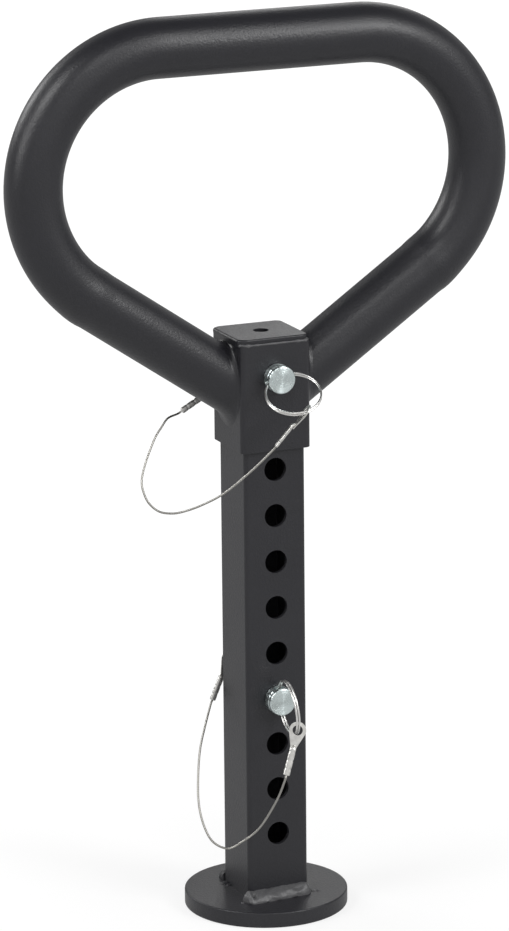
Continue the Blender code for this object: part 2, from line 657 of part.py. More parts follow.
def main():
    """Build the whole handle."""
    clear_scene()
    make_collections()
    black = make_material("black_powder_coat", (0.032, 0.032, 0.034), 0.5, 0.0)
    finishes = {
        "steel": make_material("zinc_plated_pin", (0.62, 0.64, 0.64), 0.3, 1.0),
        "ball": make_material("ball_steel", (0.7, 0.7, 0.7), 0.15, 1.0),
        "spring": make_material("spring_steel", (0.5, 0.5, 0.5), 0.3, 1.0),
        "ring": make_material("nickel_ring", (0.75, 0.75, 0.74), 0.18, 1.0),
        "zinc": make_material("zinc_terminal", (0.72, 0.73, 0.74), 0.3, 1.0),
        "cable": make_material("galvanised_cable", (0.6, 0.6, 0.58), 0.35, 1.0),
    }
    make_disc(black)
    post = make_post(black)
    make_foot_welds(black)
    collar = make_collar(black)
    make_cap(black)
    make_grip(black)
    make_grip_welds(black)
    terminal = terminal_mesh()
    upper_eyelet = make_pin_set("upper", COLLAR_SIDE / 2, UPPER_PIN_Z, finishes, UPPER_RIG, terminal)
    lower_eyelet = make_pin_set("lower", POST_SIDE / 2, LOWER_PIN_Z, finishes, LOWER_RIG, terminal)
    make_lanyard_screw("upper_lanyard_screw", upper_eyelet, collar, COLLAR_WALL, finishes["zinc"])
    make_lanyard_screw("lower_lanyard_screw", lower_eyelet, post, POST_WALL, finishes["zinc"])


main()
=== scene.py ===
"""Looks of the plate-loading kettlebell handle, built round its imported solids.

A square pinned post on a round base disc, a collar with a bent tube grip, and two pull pins with
split rings and wire lanyards. Lengths are in metres, in the frame of the solids: +Z up, the pin
heads face -Y, and the origin is the centre of the disc's underside.
"""
from __future__ import annotations

import logging
import math
from dataclasses import dataclass, field
from enum import Enum

import bmesh
import bpy
from mathutils import Matrix, Vector, noise

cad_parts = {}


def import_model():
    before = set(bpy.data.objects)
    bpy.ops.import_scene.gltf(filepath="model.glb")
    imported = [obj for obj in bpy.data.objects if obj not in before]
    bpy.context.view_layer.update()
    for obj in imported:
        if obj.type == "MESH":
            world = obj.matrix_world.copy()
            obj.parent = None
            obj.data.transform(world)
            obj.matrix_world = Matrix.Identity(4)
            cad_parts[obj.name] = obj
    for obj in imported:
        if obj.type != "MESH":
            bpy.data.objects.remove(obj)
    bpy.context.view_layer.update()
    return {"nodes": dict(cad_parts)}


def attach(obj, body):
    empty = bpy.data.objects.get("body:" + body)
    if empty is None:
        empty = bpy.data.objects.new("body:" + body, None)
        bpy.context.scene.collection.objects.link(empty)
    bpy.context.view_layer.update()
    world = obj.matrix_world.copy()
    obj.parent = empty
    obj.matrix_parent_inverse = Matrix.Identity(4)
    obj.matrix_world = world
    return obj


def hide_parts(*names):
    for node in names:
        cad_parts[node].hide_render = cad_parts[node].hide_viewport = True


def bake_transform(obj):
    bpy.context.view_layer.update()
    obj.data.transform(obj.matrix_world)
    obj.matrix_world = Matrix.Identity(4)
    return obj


MM = 0.001
TURN = 2 * math.pi
LOG = logging.getLogger("kettlebell_handle")
WHITE = (1.0, 1.0, 1.0, 1.0)

SEAT_GAP = 0.3 * MM
DISC_TOP = 8.6 * MM
POST_SIDE = 35.0 * MM
POST_WALL = 2.5 * MM
COLLAR_SIDE = 40.0 * MM
COLLAR_WALL = 2.0 * MM
HOLE_BORE = 12.6 * MM
HOLE_PITCH = 25.4 * MM
FIRST_HOLE_Z = 44.3 * MM
LOWER_PIN_Z = FIRST_HOLE_Z + 3 * HOLE_PITCH
UPPER_PIN_Z = FIRST_HOLE_Z + 10 * HOLE_PITCH
COLLAR_TOP_Z = UPPER_PIN_Z + 18.0 * MM
COLLAR_BOTTOM_Z = UPPER_PIN_Z - 40.2 * MM
TAB_THICKNESS = 0.7 * MM

MERGE_DISTANCE = 0.0005 * MM
CORNER_CHORDS = 6
DRILL_SIDES = 56
SOFT_EDGES = 70.0


class Body(Enum):
    """The moving bodies of the solids."""

    POST = "post"
    HANDLE = "handle"
    UPPER_PIN = "upper_pin"
    UPPER_BALL = "upper_ball"
    UPPER_RING = "upper_ring"
    LOWER_PIN = "lower_pin"
    LOWER_BALL = "lower_ball"
    LOWER_RING = "lower_ring"


class Slot(Enum):
    """The record's material slots."""

    COAT = "black_coat"
    WELD = "black_weld"
    PIN = "zinc_pin"
    BALL = "ball_steel"
    RING = "nickel_ring"
    HARDWARE = "zinc_hardware"
    CABLE = "wire_cable"


# node trees

class NodeSheet:
    """A node tree under construction, with short calls for its sockets, nodes and links."""

    def __init__(self, tree: bpy.types.NodeTree) -> None:
        """Take over a tree.

        Args:
            tree: the shader or geometry tree to fill.
        """
        self.tree = tree
        self.inputs: dict[str, str] = {}

    def declare(self, name: str, kind: str, way: str = "INPUT", default: object = None) -> None:
        """Add a named socket to the tree's interface.

        Args:
            name: the socket's name.
            kind: its type, such as NodeSocketFloat.
            way: INPUT or OUTPUT.
            default: its starting value.
        """
        socket = self.tree.interface.new_socket(name=name, in_out=way, socket_type=kind)
        if default is not None:
            socket.default_value = default
        if way == "INPUT":
            self.inputs[name] = socket.identifier

    def add(self, kind: str, *feeds: object, **settings: object) -> bpy.types.Node:
        """Add a node, set its properties and feed its inputs in order.

        Args:
            kind: the node's type, such as ShaderNodeMath.
            feeds: for each input socket an output socket, a value, or None to leave it.
            settings: properties of the node, such as operation.

        Returns:
            The node.
        """
        node = self.tree.nodes.new(kind)
        for key, value in settings.items():
            setattr(node, key, value)
        for socket, feed in zip(node.inputs, feeds):
            if isinstance(feed, bpy.types.NodeSocket):
                self.tree.links.new(feed, socket)
            elif feed is not None:
                socket.default_value = feed
        return node

    def math(self, operation: str, first: object, second: object = None) -> bpy.types.NodeSocket:
        """Add a Math node and return its value socket."""
        return self.add("ShaderNodeMath", first, second, operation=operation).outputs[0]

    def vector(self, operation: str, first: object, second: object = None) -> bpy.types.Node:
        """Add a Vector Math node and return it."""
        return self.add("ShaderNodeVectorMath", first, second, operation=operation)

    def noise_value(self, place: bpy.types.NodeSocket, scale: object, detail: float) -> bpy.types.NodeSocket:
        """Add a Noise Texture at a place and return its value socket."""
        return self.add("ShaderNodeTexNoise", place, None, scale, detail).outputs["Fac"]

    def upright(self, height: object) -> bpy.types.NodeSocket:
        """Add the point on the Z axis at a height and return its socket."""
        return self.add("ShaderNodeCombineXYZ", 0.0, 0.0, height).outputs[0]

    def weigh(self, *parts: tuple[object, object]) -> bpy.types.NodeSocket:
        """Add up parts, each times its share.

        Args:
            parts: pairs of a value and its share.

        Returns:
            The sum's socket.
        """
        total = None
        for value, share in parts:
            product = self.math("MULTIPLY", value, share)
            total = product if total is None else self.math("ADD", total, product)
        return total

    def link(self, output: bpy.types.NodeSocket, to: bpy.types.NodeSocket) -> None:
        """Link an output to an input."""
        self.tree.links.new(output, to)

    def put_out(self, **results: bpy.types.NodeSocket) -> None:
        """Feed the tree's own outputs.

        Args:
            results: a socket by output name.
        """
        out = self.tree.nodes.new("NodeGroupOutput")
        for label, value in results.items():
            self.link(value, out.inputs[label])


def group_node(sheet: NodeSheet, group: bpy.types.NodeTree, **values: object) -> bpy.types.Node:
    """Place a shader group in a material with its own values.

    Args:
        sheet: the material's tree.
        group: the group to place.
        values: input values by socket name, with _ for a space.

    Returns:
        The group node.
    """
    node = sheet.tree.nodes.new("ShaderNodeGroup")
    node.node_tree = group
    for name, value in values.items():
        node.inputs[name.replace("_", " ")].default_value = value
    return node


def shader_group(name: str, inputs: dict[str, float]) -> tuple[NodeSheet, bpy.types.bpy_prop_collection]:
    """Start a shader group with float inputs and the outputs Height, Rough and Shade.

    Args:
        name: the group's name.
        inputs: default value by input name.

    Returns:
        The sheet and the sockets of the group's inputs.
    """
    sheet = NodeSheet(bpy.data.node_groups.new(name, "ShaderNodeTree"))
    for label, value in inputs.items():
        sheet.declare(label, "NodeSocketFloat", default=value)
    for label in ("Height", "Rough", "Shade"):
        sheet.declare(label, "NodeSocketFloat", way="OUTPUT")
    return sheet, sheet.tree.nodes.new("NodeGroupInput").outputs


def powder_grain_group() -> bpy.types.NodeTree:
    """Orange peel and fine grain of a powder coat, with faint rubbed patches.

    Returns:
        A group with the outputs Height, Rough and Shade.
    """
    sheet, given = shader_group("powder_grain", {"Peel Scale": 800.0, "Grain Scale": 1500.0,
                                                 "Base Rough": 0.5, "Rough Spread": 0.08})
    place = sheet.add("ShaderNodeTexCoord").outputs["Object"]
    peel = sheet.noise_value(place, given["Peel Scale"], 2.0)
    grain = sheet.noise_value(place, given["Grain Scale"], 4.0)
    rub = sheet.math("SUBTRACT", sheet.noise_value(place, 22.0, 3.0), 0.5)
    speck = sheet.math("SUBTRACT", grain, 0.5)
    height = sheet.weigh((peel, 0.7), (grain, 0.3))
    rough = sheet.math("ADD", given["Base Rough"], sheet.weigh((rub, given["Rough Spread"]), (speck, 0.3)))
    shade = sheet.math("ADD", sheet.weigh((rub, 0.5), (speck, 0.8)), 0.5)
    sheet.put_out(Height=height, Rough=rough, Shade=shade)
    return sheet.tree


def turning_marks_group() -> bpy.types.NodeTree:
    """Rings left by a lathe tool about an axis along Y, with cloudy dull patches.

    Returns:
        A group with the outputs Height, Rough and Shade.
    """
    sheet, given = shader_group("turning_marks", {"Axis Z": 0.0, "Rings": 2600.0, "Base Rough": 0.25,
                                                  "Rough Spread": 0.2})
    place = sheet.add("ShaderNodeTexCoord").outputs["Object"]
    offset = sheet.vector("SUBTRACT", place, sheet.upright(given["Axis Z"])).outputs[0]
    flat = sheet.vector("MULTIPLY", offset, (1.0, 0.0, 1.0)).outputs[0]
    radius = sheet.vector("LENGTH", flat).outputs["Value"]
    along = sheet.add("ShaderNodeSeparateXYZ", place).outputs["Y"]
    track = sheet.add("ShaderNodeCombineXYZ", radius, sheet.math("MULTIPLY", along, 0.9), 0.0).outputs[0]
    rings = sheet.noise_value(track, given["Rings"], 1.0)
    cloud = sheet.math("SUBTRACT", sheet.noise_value(place, 330.0, 5.0), 0.5)
    rough = sheet.math("ADD", given["Base Rough"], sheet.math("MULTIPLY", cloud, given["Rough Spread"]))
    faint = sheet.math("MULTIPLY", sheet.math("SUBTRACT", rings, 0.5), 0.5)
    shade = sheet.math("ADD", sheet.math("ADD", faint, cloud), 0.5)
    sheet.put_out(Height=rings, Rough=rough, Shade=shade)
    return sheet.tree


def handled_metal_group() -> bpy.types.NodeTree:
    """Dull patches, pits and hairline scratches of bright metal that is handled.

    Returns:
        A group with the outputs Height, Rough and Shade.
    """
    sheet, given = shader_group("handled_metal", {"Patch Scale": 240.0, "Scratch Scale": 900.0,
                                                  "Base Rough": 0.2, "Rough Spread": 0.25})
    place = sheet.add("ShaderNodeTexCoord").outputs["Object"]
    patch = sheet.noise_value(place, given["Patch Scale"], 4.0)
    stretch = sheet.vector("MULTIPLY", place, (1.0, 0.6, 0.08)).outputs[0]
    hair = sheet.noise_value(stretch, given["Scratch Scale"], 3.0)
    cloud = sheet.math("SUBTRACT", patch, 0.5)
    rough = sheet.math("ADD", given["Base Rough"], sheet.math("MULTIPLY", cloud, given["Rough Spread"]))
    sheet.put_out(Height=sheet.weigh((hair, 0.6), (patch, 0.4)), Rough=rough, Shade=patch)
    return sheet.tree


# finishes

@dataclass(frozen=True)
class Finish:
    """A surface finish: two tones that its group's shade mixes, and how it answers light."""

    name: str
    dark: tuple[float, float, float]
    light: tuple[float, float, float]
    metallic: float
    bump: float
    values: tuple[tuple[str, float], ...] = ()
    turned: float = 0.0

    def make(self, group: bpy.types.NodeTree) -> bpy.types.Material:
        """Build the material round its effect group.

        Args:
            group: the shader group that gives Height, Rough and Shade.

        Returns:
            The material.
        """
        material = bpy.data.materials.new(self.name)
        material.use_nodes = True
        sheet = NodeSheet(material.node_tree)
        shader = material.node_tree.nodes["Principled BSDF"]
        shader.inputs["Metallic"].default_value = self.metallic
        if self.turned:
            quarter_turn = 0.25
            shader.inputs["Anisotropic"].default_value = self.turned
            shader.inputs["Anisotropic Rotation"].default_value = quarter_turn
            rings = sheet.add("ShaderNodeTangent", direction_type="RADIAL", axis="Y")
            sheet.link(rings.outputs[0], shader.inputs["Tangent"])
        effect = group_node(sheet, group, **dict(self.values))
        tone = sheet.add("ShaderNodeMix", data_type="RGBA")
        sheet.link(effect.outputs["Shade"], tone.inputs["Factor"])
        colours = [socket for socket in tone.inputs if socket.type == "RGBA"]
        colours[0].default_value = (*self.dark, 1.0)
        colours[1].default_value = (*self.light, 1.0)
        result = [socket for socket in tone.outputs if socket.type == "RGBA"][0]
        sheet.link(result, shader.inputs["Base Color"])
        sheet.link(effect.outputs["Rough"], shader.inputs["Roughness"])
        bump = sheet.tree.nodes.new("ShaderNodeBump")
        bump.inputs["Distance"].default_value = self.bump
        sheet.link(effect.outputs["Height"], bump.inputs["Height"])
        sheet.link(bump.outputs["Normal"], shader.inputs["Normal"])
        return material


@dataclass
class Finishes:
    """Every finish of the object, each built once."""

    grain: bpy.types.NodeTree = field(default_factory=powder_grain_group)
    turning: bpy.types.NodeTree = field(default_factory=turning_marks_group)
    handled: bpy.types.NodeTree = field(default_factory=handled_metal_group)
    made: dict[str, bpy.types.Material] = field(default_factory=dict)

    def get(self, finish: Finish, group: bpy.types.NodeTree) -> bpy.types.Material:
        """Give the material of a finish, and build it at its first use.

        Args:
            finish: the finish.
            group: the effect group that it is built round.

        Returns:
            The material.
        """
        if finish.name not in self.made:
            self.made[finish.name] = finish.make(group)
        return self.made[finish.name]

    def coat(self) -> bpy.types.Material:
        """Satin black powder coat."""
        return self.get(Finish("black_powder_coat", (0.011, 0.011, 0.0135), (0.021, 0.021, 0.0255),
                               metallic=0.0, bump=0.00018, values=(("Base_Rough", 0.37),)), self.grain)

    def weld(self) -> bpy.types.Material:
        """The same coat on a weld, a little duller, and lighter grey as painted light that brightens the
        front bead, its drops and the cap's seam.
        """
        return self.get(Finish("coated_weld_painted_light", (0.06, 0.06, 0.063), (0.11, 0.11, 0.114), metallic=0.0,
                               bump=0.00005, values=(("Base_Rough", 0.42), ("Peel_Scale", 420.0))),
                        self.grain)

    def pin(self, name: str, height: float) -> bpy.types.Material:
        """Bright zinc on a turned pin.

        Args:
            name: the finish's name.
            height: the height of the pin's axis.

        Returns:
            The material.
        """
        values = (("Axis_Z", height), ("Base_Rough", 0.27), ("Rough_Spread", 0.3))
        return self.get(Finish(name, (0.57, 0.64, 0.64), (0.9, 1.0, 1.0), metallic=1.0, bump=0.0001,
                               values=values, turned=0.9), self.turning)

    def ball(self) -> bpy.types.Material:
        """Polished hard steel."""
        return self.get(Finish("ball_steel", (0.6, 0.6, 0.61), (0.8, 0.8, 0.8), metallic=1.0, bump=0.000002,
                               values=(("Base_Rough", 0.14), ("Rough_Spread", 0.1))), self.handled)

    def ring(self) -> bpy.types.Material:
        """Nickel plated spring wire."""
        return self.get(Finish("nickel_ring", (0.84, 0.83, 0.81), (0.95, 0.94, 0.92), metallic=1.0,
                               bump=0.0000004, values=(("Base_Rough", 0.33), ("Rough_Spread", 0.06))),
                        self.handled)

    def hardware(self) -> bpy.types.Material:
        """Stamped zinc plated steel."""
        return self.get(Finish("stamped_zinc", (0.5, 0.49, 0.465), (0.98, 0.97, 0.94), metallic=1.0,
                               bump=0.00003, values=(("Base_Rough", 0.38), ("Patch_Scale", 520.0))),
                        self.handled)

    def cable(self) -> bpy.types.Material:
        """Galvanised wire rope."""
        return self.get(Finish("wire_rope", (0.3, 0.29, 0.27), (0.5, 0.49, 0.46), metallic=1.0,
                               bump=0.000001, values=(("Base_Rough", 0.42), ("Rough_Spread", 0.1))),
                        self.handled)


# geometry trees

def shape_tree(name: str, start: str, sizes: dict[str, float],
               counts: dict[str, int]) -> tuple[NodeSheet, bpy.types.bpy_prop_collection]:
    """Start a geometry tree that makes a shape and gives it a finish.

    Args:
        name: the tree's name.
        start: the name of the geometry that it starts from.
        sizes: default value by name, for inputs that are sizes.
        counts: default value by name, for inputs that are whole numbers.

    Returns:
        The sheet and the sockets of the tree's inputs.
    """
    sheet = NodeSheet(bpy.data.node_groups.new(name, "GeometryNodeTree"))
    sheet.declare(start, "NodeSocketGeometry")
    for label, value in sizes.items():
        sheet.declare(label, "NodeSocketFloat", default=value)
    for label, value in counts.items():
        sheet.declare(label, "NodeSocketInt", default=value)
    sheet.declare("Finish", "NodeSocketMaterial")
    sheet.declare("Shape", "NodeSocketGeometry", way="OUTPUT")
    return sheet, sheet.tree.nodes.new("NodeGroupInput").outputs


def end_shape(sheet: NodeSheet, shape: bpy.types.NodeSocket, finish: bpy.types.NodeSocket) -> None:
    """End a geometry tree: make its instances real and set its finish.

    Args:
        sheet: the tree's sheet.
        shape: the finished geometry.
        finish: the material.
    """
    real = sheet.add("GeometryNodeRealizeInstances", shape)
    dressed = sheet.add("GeometryNodeSetMaterial", real.outputs[0], None, finish)
    sheet.put_out(Shape=dressed.outputs[0])


def swept_bar_tree() -> NodeSheet:
    """A bar swept along a curve, whose section may have lobes that twist like laid strands.

    Returns:
        The tree's sheet, with the socket identifiers in inputs.
    """
    sheet, given = shape_tree("swept_bar", "Path", {"Radius": 1.0 * MM, "Lobe Depth": 0.0, "Lay Turns": 0.0},
                              {"Sides": 16, "Lobes": 6})
    share = sheet.add("GeometryNodeSplineParameter").outputs["Factor"]
    tilt = sheet.math("MULTIPLY", sheet.math("MULTIPLY", share, given["Lay Turns"]), TURN)
    laid = sheet.add("GeometryNodeSetCurveTilt", given["Path"], None, tilt).outputs[0]
    circle = sheet.add("GeometryNodeCurvePrimitiveCircle", given["Sides"], None, None, None, given["Radius"])
    index = sheet.add("GeometryNodeInputIndex").outputs[0]
    angle = sheet.math("DIVIDE", sheet.math("MULTIPLY", index, TURN), given["Sides"])
    half_lobes = sheet.math("MULTIPLY", sheet.math("MULTIPLY", angle, given["Lobes"]), 0.5)
    lobe = sheet.math("ABSOLUTE", sheet.math("COSINE", half_lobes))
    groove = sheet.math("MULTIPLY", sheet.math("SUBTRACT", 1.0, lobe), given["Lobe Depth"])
    spot = sheet.add("ShaderNodeVectorMath", sheet.add("GeometryNodeInputPosition").outputs[0], None, None,
                     sheet.math("SUBTRACT", 1.0, groove), operation="SCALE")
    section = sheet.add("GeometryNodeSetPosition", circle.outputs["Curve"], None, spot.outputs[0])
    size = sheet.add("GeometryNodeInputRadius").outputs[0]
    bar = sheet.add("GeometryNodeCurveToMesh", laid, section.outputs[0], size, True)
    end_shape(sheet, bar.outputs[0], given["Finish"])
    return sheet


def square_prism(sheet: NodeSheet, side: object, corner: object, low: object,
                 high: object) -> bpy.types.NodeSocket:
    """A closed upright prism with a rounded square section, about the Z axis.

    Args:
        sheet: the geometry tree's sheet.
        side: the square's side.
        corner: its corner radius.
        low: the height of the prism's foot.
        high: the height of its top.

    Returns:
        The prism's mesh socket.
    """
    square = sheet.add("GeometryNodeCurvePrimitiveQuadrilateral", side, side)
    turned = sheet.add("GeometryNodeFilletCurve", square.outputs[0], CORNER_CHORDS, corner, mode="POLY")
    line = sheet.add("GeometryNodeCurvePrimitiveLine", sheet.upright(low), sheet.upright(high))
    return sheet.add("GeometryNodeCurveToMesh", line.outputs[0], turned.outputs[0], None, True).outputs[0]


def pierced_tube_tree() -> NodeSheet:
    """An upright square tube with rounded corners and a row of holes through its front and back.

    Returns:
        The tree's sheet, with the socket identifiers in inputs.
    """
    sizes = ("Side", "Corner", "Inner Corner", "Wall", "Bottom", "Top", "Bore", "Pitch", "First Hole")
    sheet, given = shape_tree("pierced_square_tube", "Start", dict.fromkeys(sizes, 10.0 * MM), {"Holes": 1})
    outer = square_prism(sheet, given["Side"], given["Corner"], given["Bottom"], given["Top"])
    inner_side = sheet.math("SUBTRACT", given["Side"], sheet.math("MULTIPLY", given["Wall"], 2.0))
    inner = square_prism(sheet, inner_side, given["Inner Corner"],
                         sheet.math("SUBTRACT", given["Bottom"], given["Wall"]),
                         sheet.math("ADD", given["Top"], given["Wall"]))
    row = sheet.add("GeometryNodeMeshLine", given["Holes"], None, sheet.upright(given["First Hole"]),
                    sheet.upright(given["Pitch"]))
    drill = sheet.add("GeometryNodeMeshCylinder", DRILL_SIDES, 1, 1,
                      sheet.math("MULTIPLY", given["Bore"], 0.5), sheet.math("MULTIPLY", given["Side"], 2.0))
    level = sheet.add("GeometryNodeTransform", drill.outputs["Mesh"], None, (math.radians(90), 0.0, 0.0))
    drills = sheet.add("GeometryNodeInstanceOnPoints", row.outputs[0], None, level.outputs[0])
    cutters = sheet.add("GeometryNodeRealizeInstances", drills.outputs[0])
    hollow = sheet.add("GeometryNodeMeshBoolean", outer, inner, operation="DIFFERENCE", solver="EXACT")
    pierced = sheet.add("GeometryNodeMeshBoolean", hollow.outputs[0], cutters.outputs[0],
                        operation="DIFFERENCE", solver="EXACT")
    end_shape(sheet, pierced.outputs[0], given["Finish"])
    return sheet


# mesh tools

def add_object(name: str, data: bpy.types.ID) -> bpy.types.Object:
    """Make an object and put it into the scene.

    Args:
        name: its name.
        data: its mesh, curve, lamp or camera.

    Returns:
        The object.
    """
    obj = bpy.data.objects.new(name, data)
    bpy.context.scene.collection.objects.link(obj)
    return obj


def plain_mesh(obj: bpy.types.Object, name: str) -> bpy.types.Mesh:
    """Work an object's modifiers into a new mesh.

    Args:
        obj: the object.
        name: the name of the new mesh.

    Returns:
        The mesh.
    """
    graph = bpy.context.evaluated_depsgraph_get()
    mesh = bpy.data.meshes.new_from_object(obj.evaluated_get(graph))
    mesh.name = name
    return mesh


def finish_bmesh(bm: bmesh.types.BMesh, name: str,
                 material: bpy.types.Material | None = None) -> bpy.types.Mesh:
    """Turn a bmesh into a mesh with its normals outwards, and free it.

    Args:
        bm: the bmesh.
        name: the name of the mesh.
        material: its finish.

    Returns:
        The mesh.
    """
    bmesh.ops.remove_doubles(bm, verts=bm.verts, dist=MERGE_DISTANCE)
    bmesh.ops.recalc_face_normals(bm, faces=bm.faces[:])
    mesh = bpy.data.meshes.new(name)
    bm.to_mesh(mesh)
    bm.free()
    if material:
        mesh.materials.append(material)
    return mesh


def loft(name: str, rings: list[list[Vector]], material: bpy.types.Material,
         closed: bool = False) -> bpy.types.Mesh:
    """Join rings of points into a closed mesh.

    Args:
        name: the name of the mesh.
        rings: the rings in order, all with the same number of points.
        material: its finish.
        closed: whether the last ring joins the first. If not, both are capped.

    Returns:
        The mesh.
    """
    bm = bmesh.new()
    loops = [[bm.verts.new(spot) for spot in ring] for ring in rings]
    followers = loops[1:] + (loops[:1] if closed else [])
    for here, there in zip(loops, followers):
        for k in range(len(here)):
            n = (k + 1) % len(here)
            bm.faces.new((here[k], here[n], there[n], there[k]))
    if not closed:
        bm.faces.new(loops[0])
        bm.faces.new(loops[-1])
    return finish_bmesh(bm, name, material)


def lathe(name: str, profile: list[tuple[float, float]], steps: int,
          material: bpy.types.Material | None = None) -> bpy.types.Mesh:
    """Turn a profile about Z into a closed mesh.

    Args:
        name: the name of the mesh.
        profile: (radius, height) points, the first and last on the axis.
        steps: the number of sides.
        material: its finish.

    Returns:
        The mesh.
    """
    bm = bmesh.new()
    rings = []
    for radius, height in profile:
        if radius < 1e-9:
            rings.append([bm.verts.new((0, 0, height))])
            continue
        rings.append([bm.verts.new((radius * math.cos(TURN * k / steps),
                                    radius * math.sin(TURN * k / steps), height))
                      for k in range(steps)])
    for upper, lower in zip(rings, rings[1:]):
        for k in range(steps):
            loop = [upper[k % len(upper)], upper[(k + 1) % len(upper)],
                    lower[(k + 1) % len(lower)], lower[k % len(lower)]]
            bm.faces.new(list(dict.fromkeys(loop)))
    return finish_bmesh(bm, name, material)


def round_corner(profile: list[tuple[float, float]], index: int, size: float, steps: int = 4) -> None:
    """Round one corner of a lathe profile in place.

    Args:
        profile: the profile points.
        index: the corner's place in it.
        size: the distance from the corner at which the rounding starts.
        steps: the number of chords.
    """
    corner = Vector(profile[index])
    before = (Vector(profile[index - 1]) - corner).normalized() * size
    after = (Vector(profile[index + 1]) - corner).normalized() * size
    arc = []
    for t in shares(steps):
        spot = corner + before * (1 - t) ** 2 + after * t ** 2
        arc.append((spot.x, spot.y))
    profile[index:index + 1] = arc


def cylinder(name: str, diameter: float, start: Vector, end: Vector, sides: int = 48) -> bpy.types.Mesh:
    """A round bar from one point to another, used as a drill.

    Args:
        name: the name of the mesh.
        diameter: the bar's diameter.
        start: the middle of its first end.
        end: the middle of its last end.
        sides: the number of its sides.

    Returns:
        The mesh.
    """
    bm = bmesh.new()
    turn = (end - start).to_track_quat("Z", "X").to_matrix().to_4x4()
    bmesh.ops.create_cone(bm, cap_ends=True, segments=sides, radius1=diameter / 2, radius2=diameter / 2,
                          depth=(end - start).length, matrix=Matrix.Translation((start + end) / 2) @ turn)
    return finish_bmesh(bm, name)


def block(name: str, size: tuple[float, float, float], height: float) -> bpy.types.Mesh:
    """A block on the Z axis, used as a cutter.

    Args:
        name: the name of the mesh.
        size: its sides along X, Y and Z.
        height: the height of its middle.

    Returns:
        The mesh.
    """
    bm = bmesh.new()
    bmesh.ops.create_cube(bm, size=1.0)
    bmesh.ops.scale(bm, vec=size, verts=bm.verts)
    bmesh.ops.translate(bm, vec=(0, 0, height), verts=bm.verts)
    return finish_bmesh(bm, name)


def carve(mesh: bpy.types.Mesh, cutters: list[bpy.types.Mesh], bevel: float = 0.0, angle: float = 35.0,
          segments: int = 2) -> bpy.types.Mesh:
    """Cut cutters from a mesh and bevel its sharp edges.

    Args:
        mesh: the mesh to work on.
        cutters: closed meshes in the same place.
        bevel: the width of the bevel on edges sharper than angle, or 0.
        angle: that angle in degrees.
        segments: the bevel's segments.

    Returns:
        A new mesh with the finish of the first.
    """
    obj = add_object(mesh.name + "_work", mesh)
    tools = [add_object(cutter.name, cutter) for cutter in cutters]
    for tool in tools:
        modifier = obj.modifiers.new(tool.name, "BOOLEAN")
        modifier.object = tool
        modifier.operation = "DIFFERENCE"
        modifier.solver = "EXACT"
    if bevel > 0:
        modifier = obj.modifiers.new("edges", "BEVEL")
        modifier.width = bevel
        modifier.segments = segments
        modifier.limit_method = "ANGLE"
        modifier.angle_limit = math.radians(angle)
    result = plain_mesh(obj, mesh.name)
    for work in [obj, *tools]:
        bpy.data.objects.remove(work, do_unlink=True)
    return result


def place_piece(name: str, mesh: bpy.types.Mesh, body: Body, replaces: tuple[str, ...] = (),
                smooth_angle: float = 32.0) -> bpy.types.Object:
    """Put a finished mesh into the scene, riding on its body.

    Args:
        name: the piece's name.
        mesh: its mesh, already in place.
        body: the body that it rides on.
        replaces: the solids that it stands for.
        smooth_angle: edges sharper than this stay sharp, in degrees.

    Returns:
        The object.
    """
    mesh.shade_smooth()
    mesh.set_sharp_from_angle(angle=math.radians(smooth_angle))
    obj = add_object(name, mesh)
    modifier = obj.modifiers.new("flats", "WEIGHTED_NORMAL")
    modifier.keep_sharp = True
    shaded = plain_mesh(obj, name)
    obj.modifiers.clear()
    obj.data = shaded
    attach(obj, body.value)
    if replaces:
        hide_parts(*replaces)
    LOG.info("%s on %s, %d faces", name, body.value, len(shaded.polygons))
    return obj


def smooth_route(points: list[Vector], spacing: float) -> tuple[list[Vector], float]:
    """Even points along a smooth curve through the given points, as in the solids.

    Args:
        points: the points that the curve passes.
        spacing: the wished distance between the even points.

    Returns:
        The even points and the curve's length.
    """
    parts = 16
    places = [2 * points[0] - points[1]] + points + [2 * points[-1] - points[-2]]
    fine = []
    for p0, p1, p2, p3 in zip(places, places[1:], places[2:], places[3:]):
        for t in shares(parts)[:-1]:
            fine.append(0.5 * (2 * p1 + (p2 - p0) * t + (2 * p0 - 5 * p1 + 4 * p2 - p3) * t ** 2
                               + (3 * p1 - p0 - 3 * p2 + p3) * t ** 3))
    fine.append(points[-1])
    reach = [0.0]
    for here, there in zip(fine, fine[1:]):
        reach.append(reach[-1] + (there - here).length)
    count = max(2, round(reach[-1] / spacing))
    route = []
    index = 0
    for step in range(count + 1):
        want = reach[-1] * step / count
        while index < len(reach) - 2 and reach[index + 1] < want:
            index += 1
        share = (want - reach[index]) / (reach[index + 1] - reach[index])
        route.append(fine[index].lerp(fine[index + 1], share))
    return route, reach[-1]


def frame_matrix(origin: Vector, along: Vector, across: Vector) -> Matrix:
    """Matrix whose X runs along a direction and whose Z is near another, at a place.

    Args:
        origin: the place.
        along: the direction of X.
        across: the direction that Z is near.

    Returns:
        The matrix.
    """
    x_axis = along.normalized()
    z_axis = (across - across.dot(x_axis) * x_axis).normalized()
    basis = Matrix((x_axis, z_axis.cross(x_axis), z_axis)).transposed().to_4x4()
    return Matrix.Translation(origin) @ basis


def shares(parts: int) -> list[float]:
    """The shares of a way at the ends of its equal parts, from 0 to 1."""
    return [step / parts for step in range(parts + 1)]


def between(first: float, last: float, share: float) -> float:
    """The value at a share of the way from the first to the last."""
    return first + (last - first) * share


def ease(share: float) -> float:
    """A share of the way from 0 to 1, with a soft start and end."""
    share = min(max(share, 0.0), 1.0)
    return share * share * (3 - 2 * share)


def leftness(out: Vector) -> float:
    """How far an outward direction points to the left, from 0 to 1."""
    return max(0.0, -out.x) ** 2


# workshop

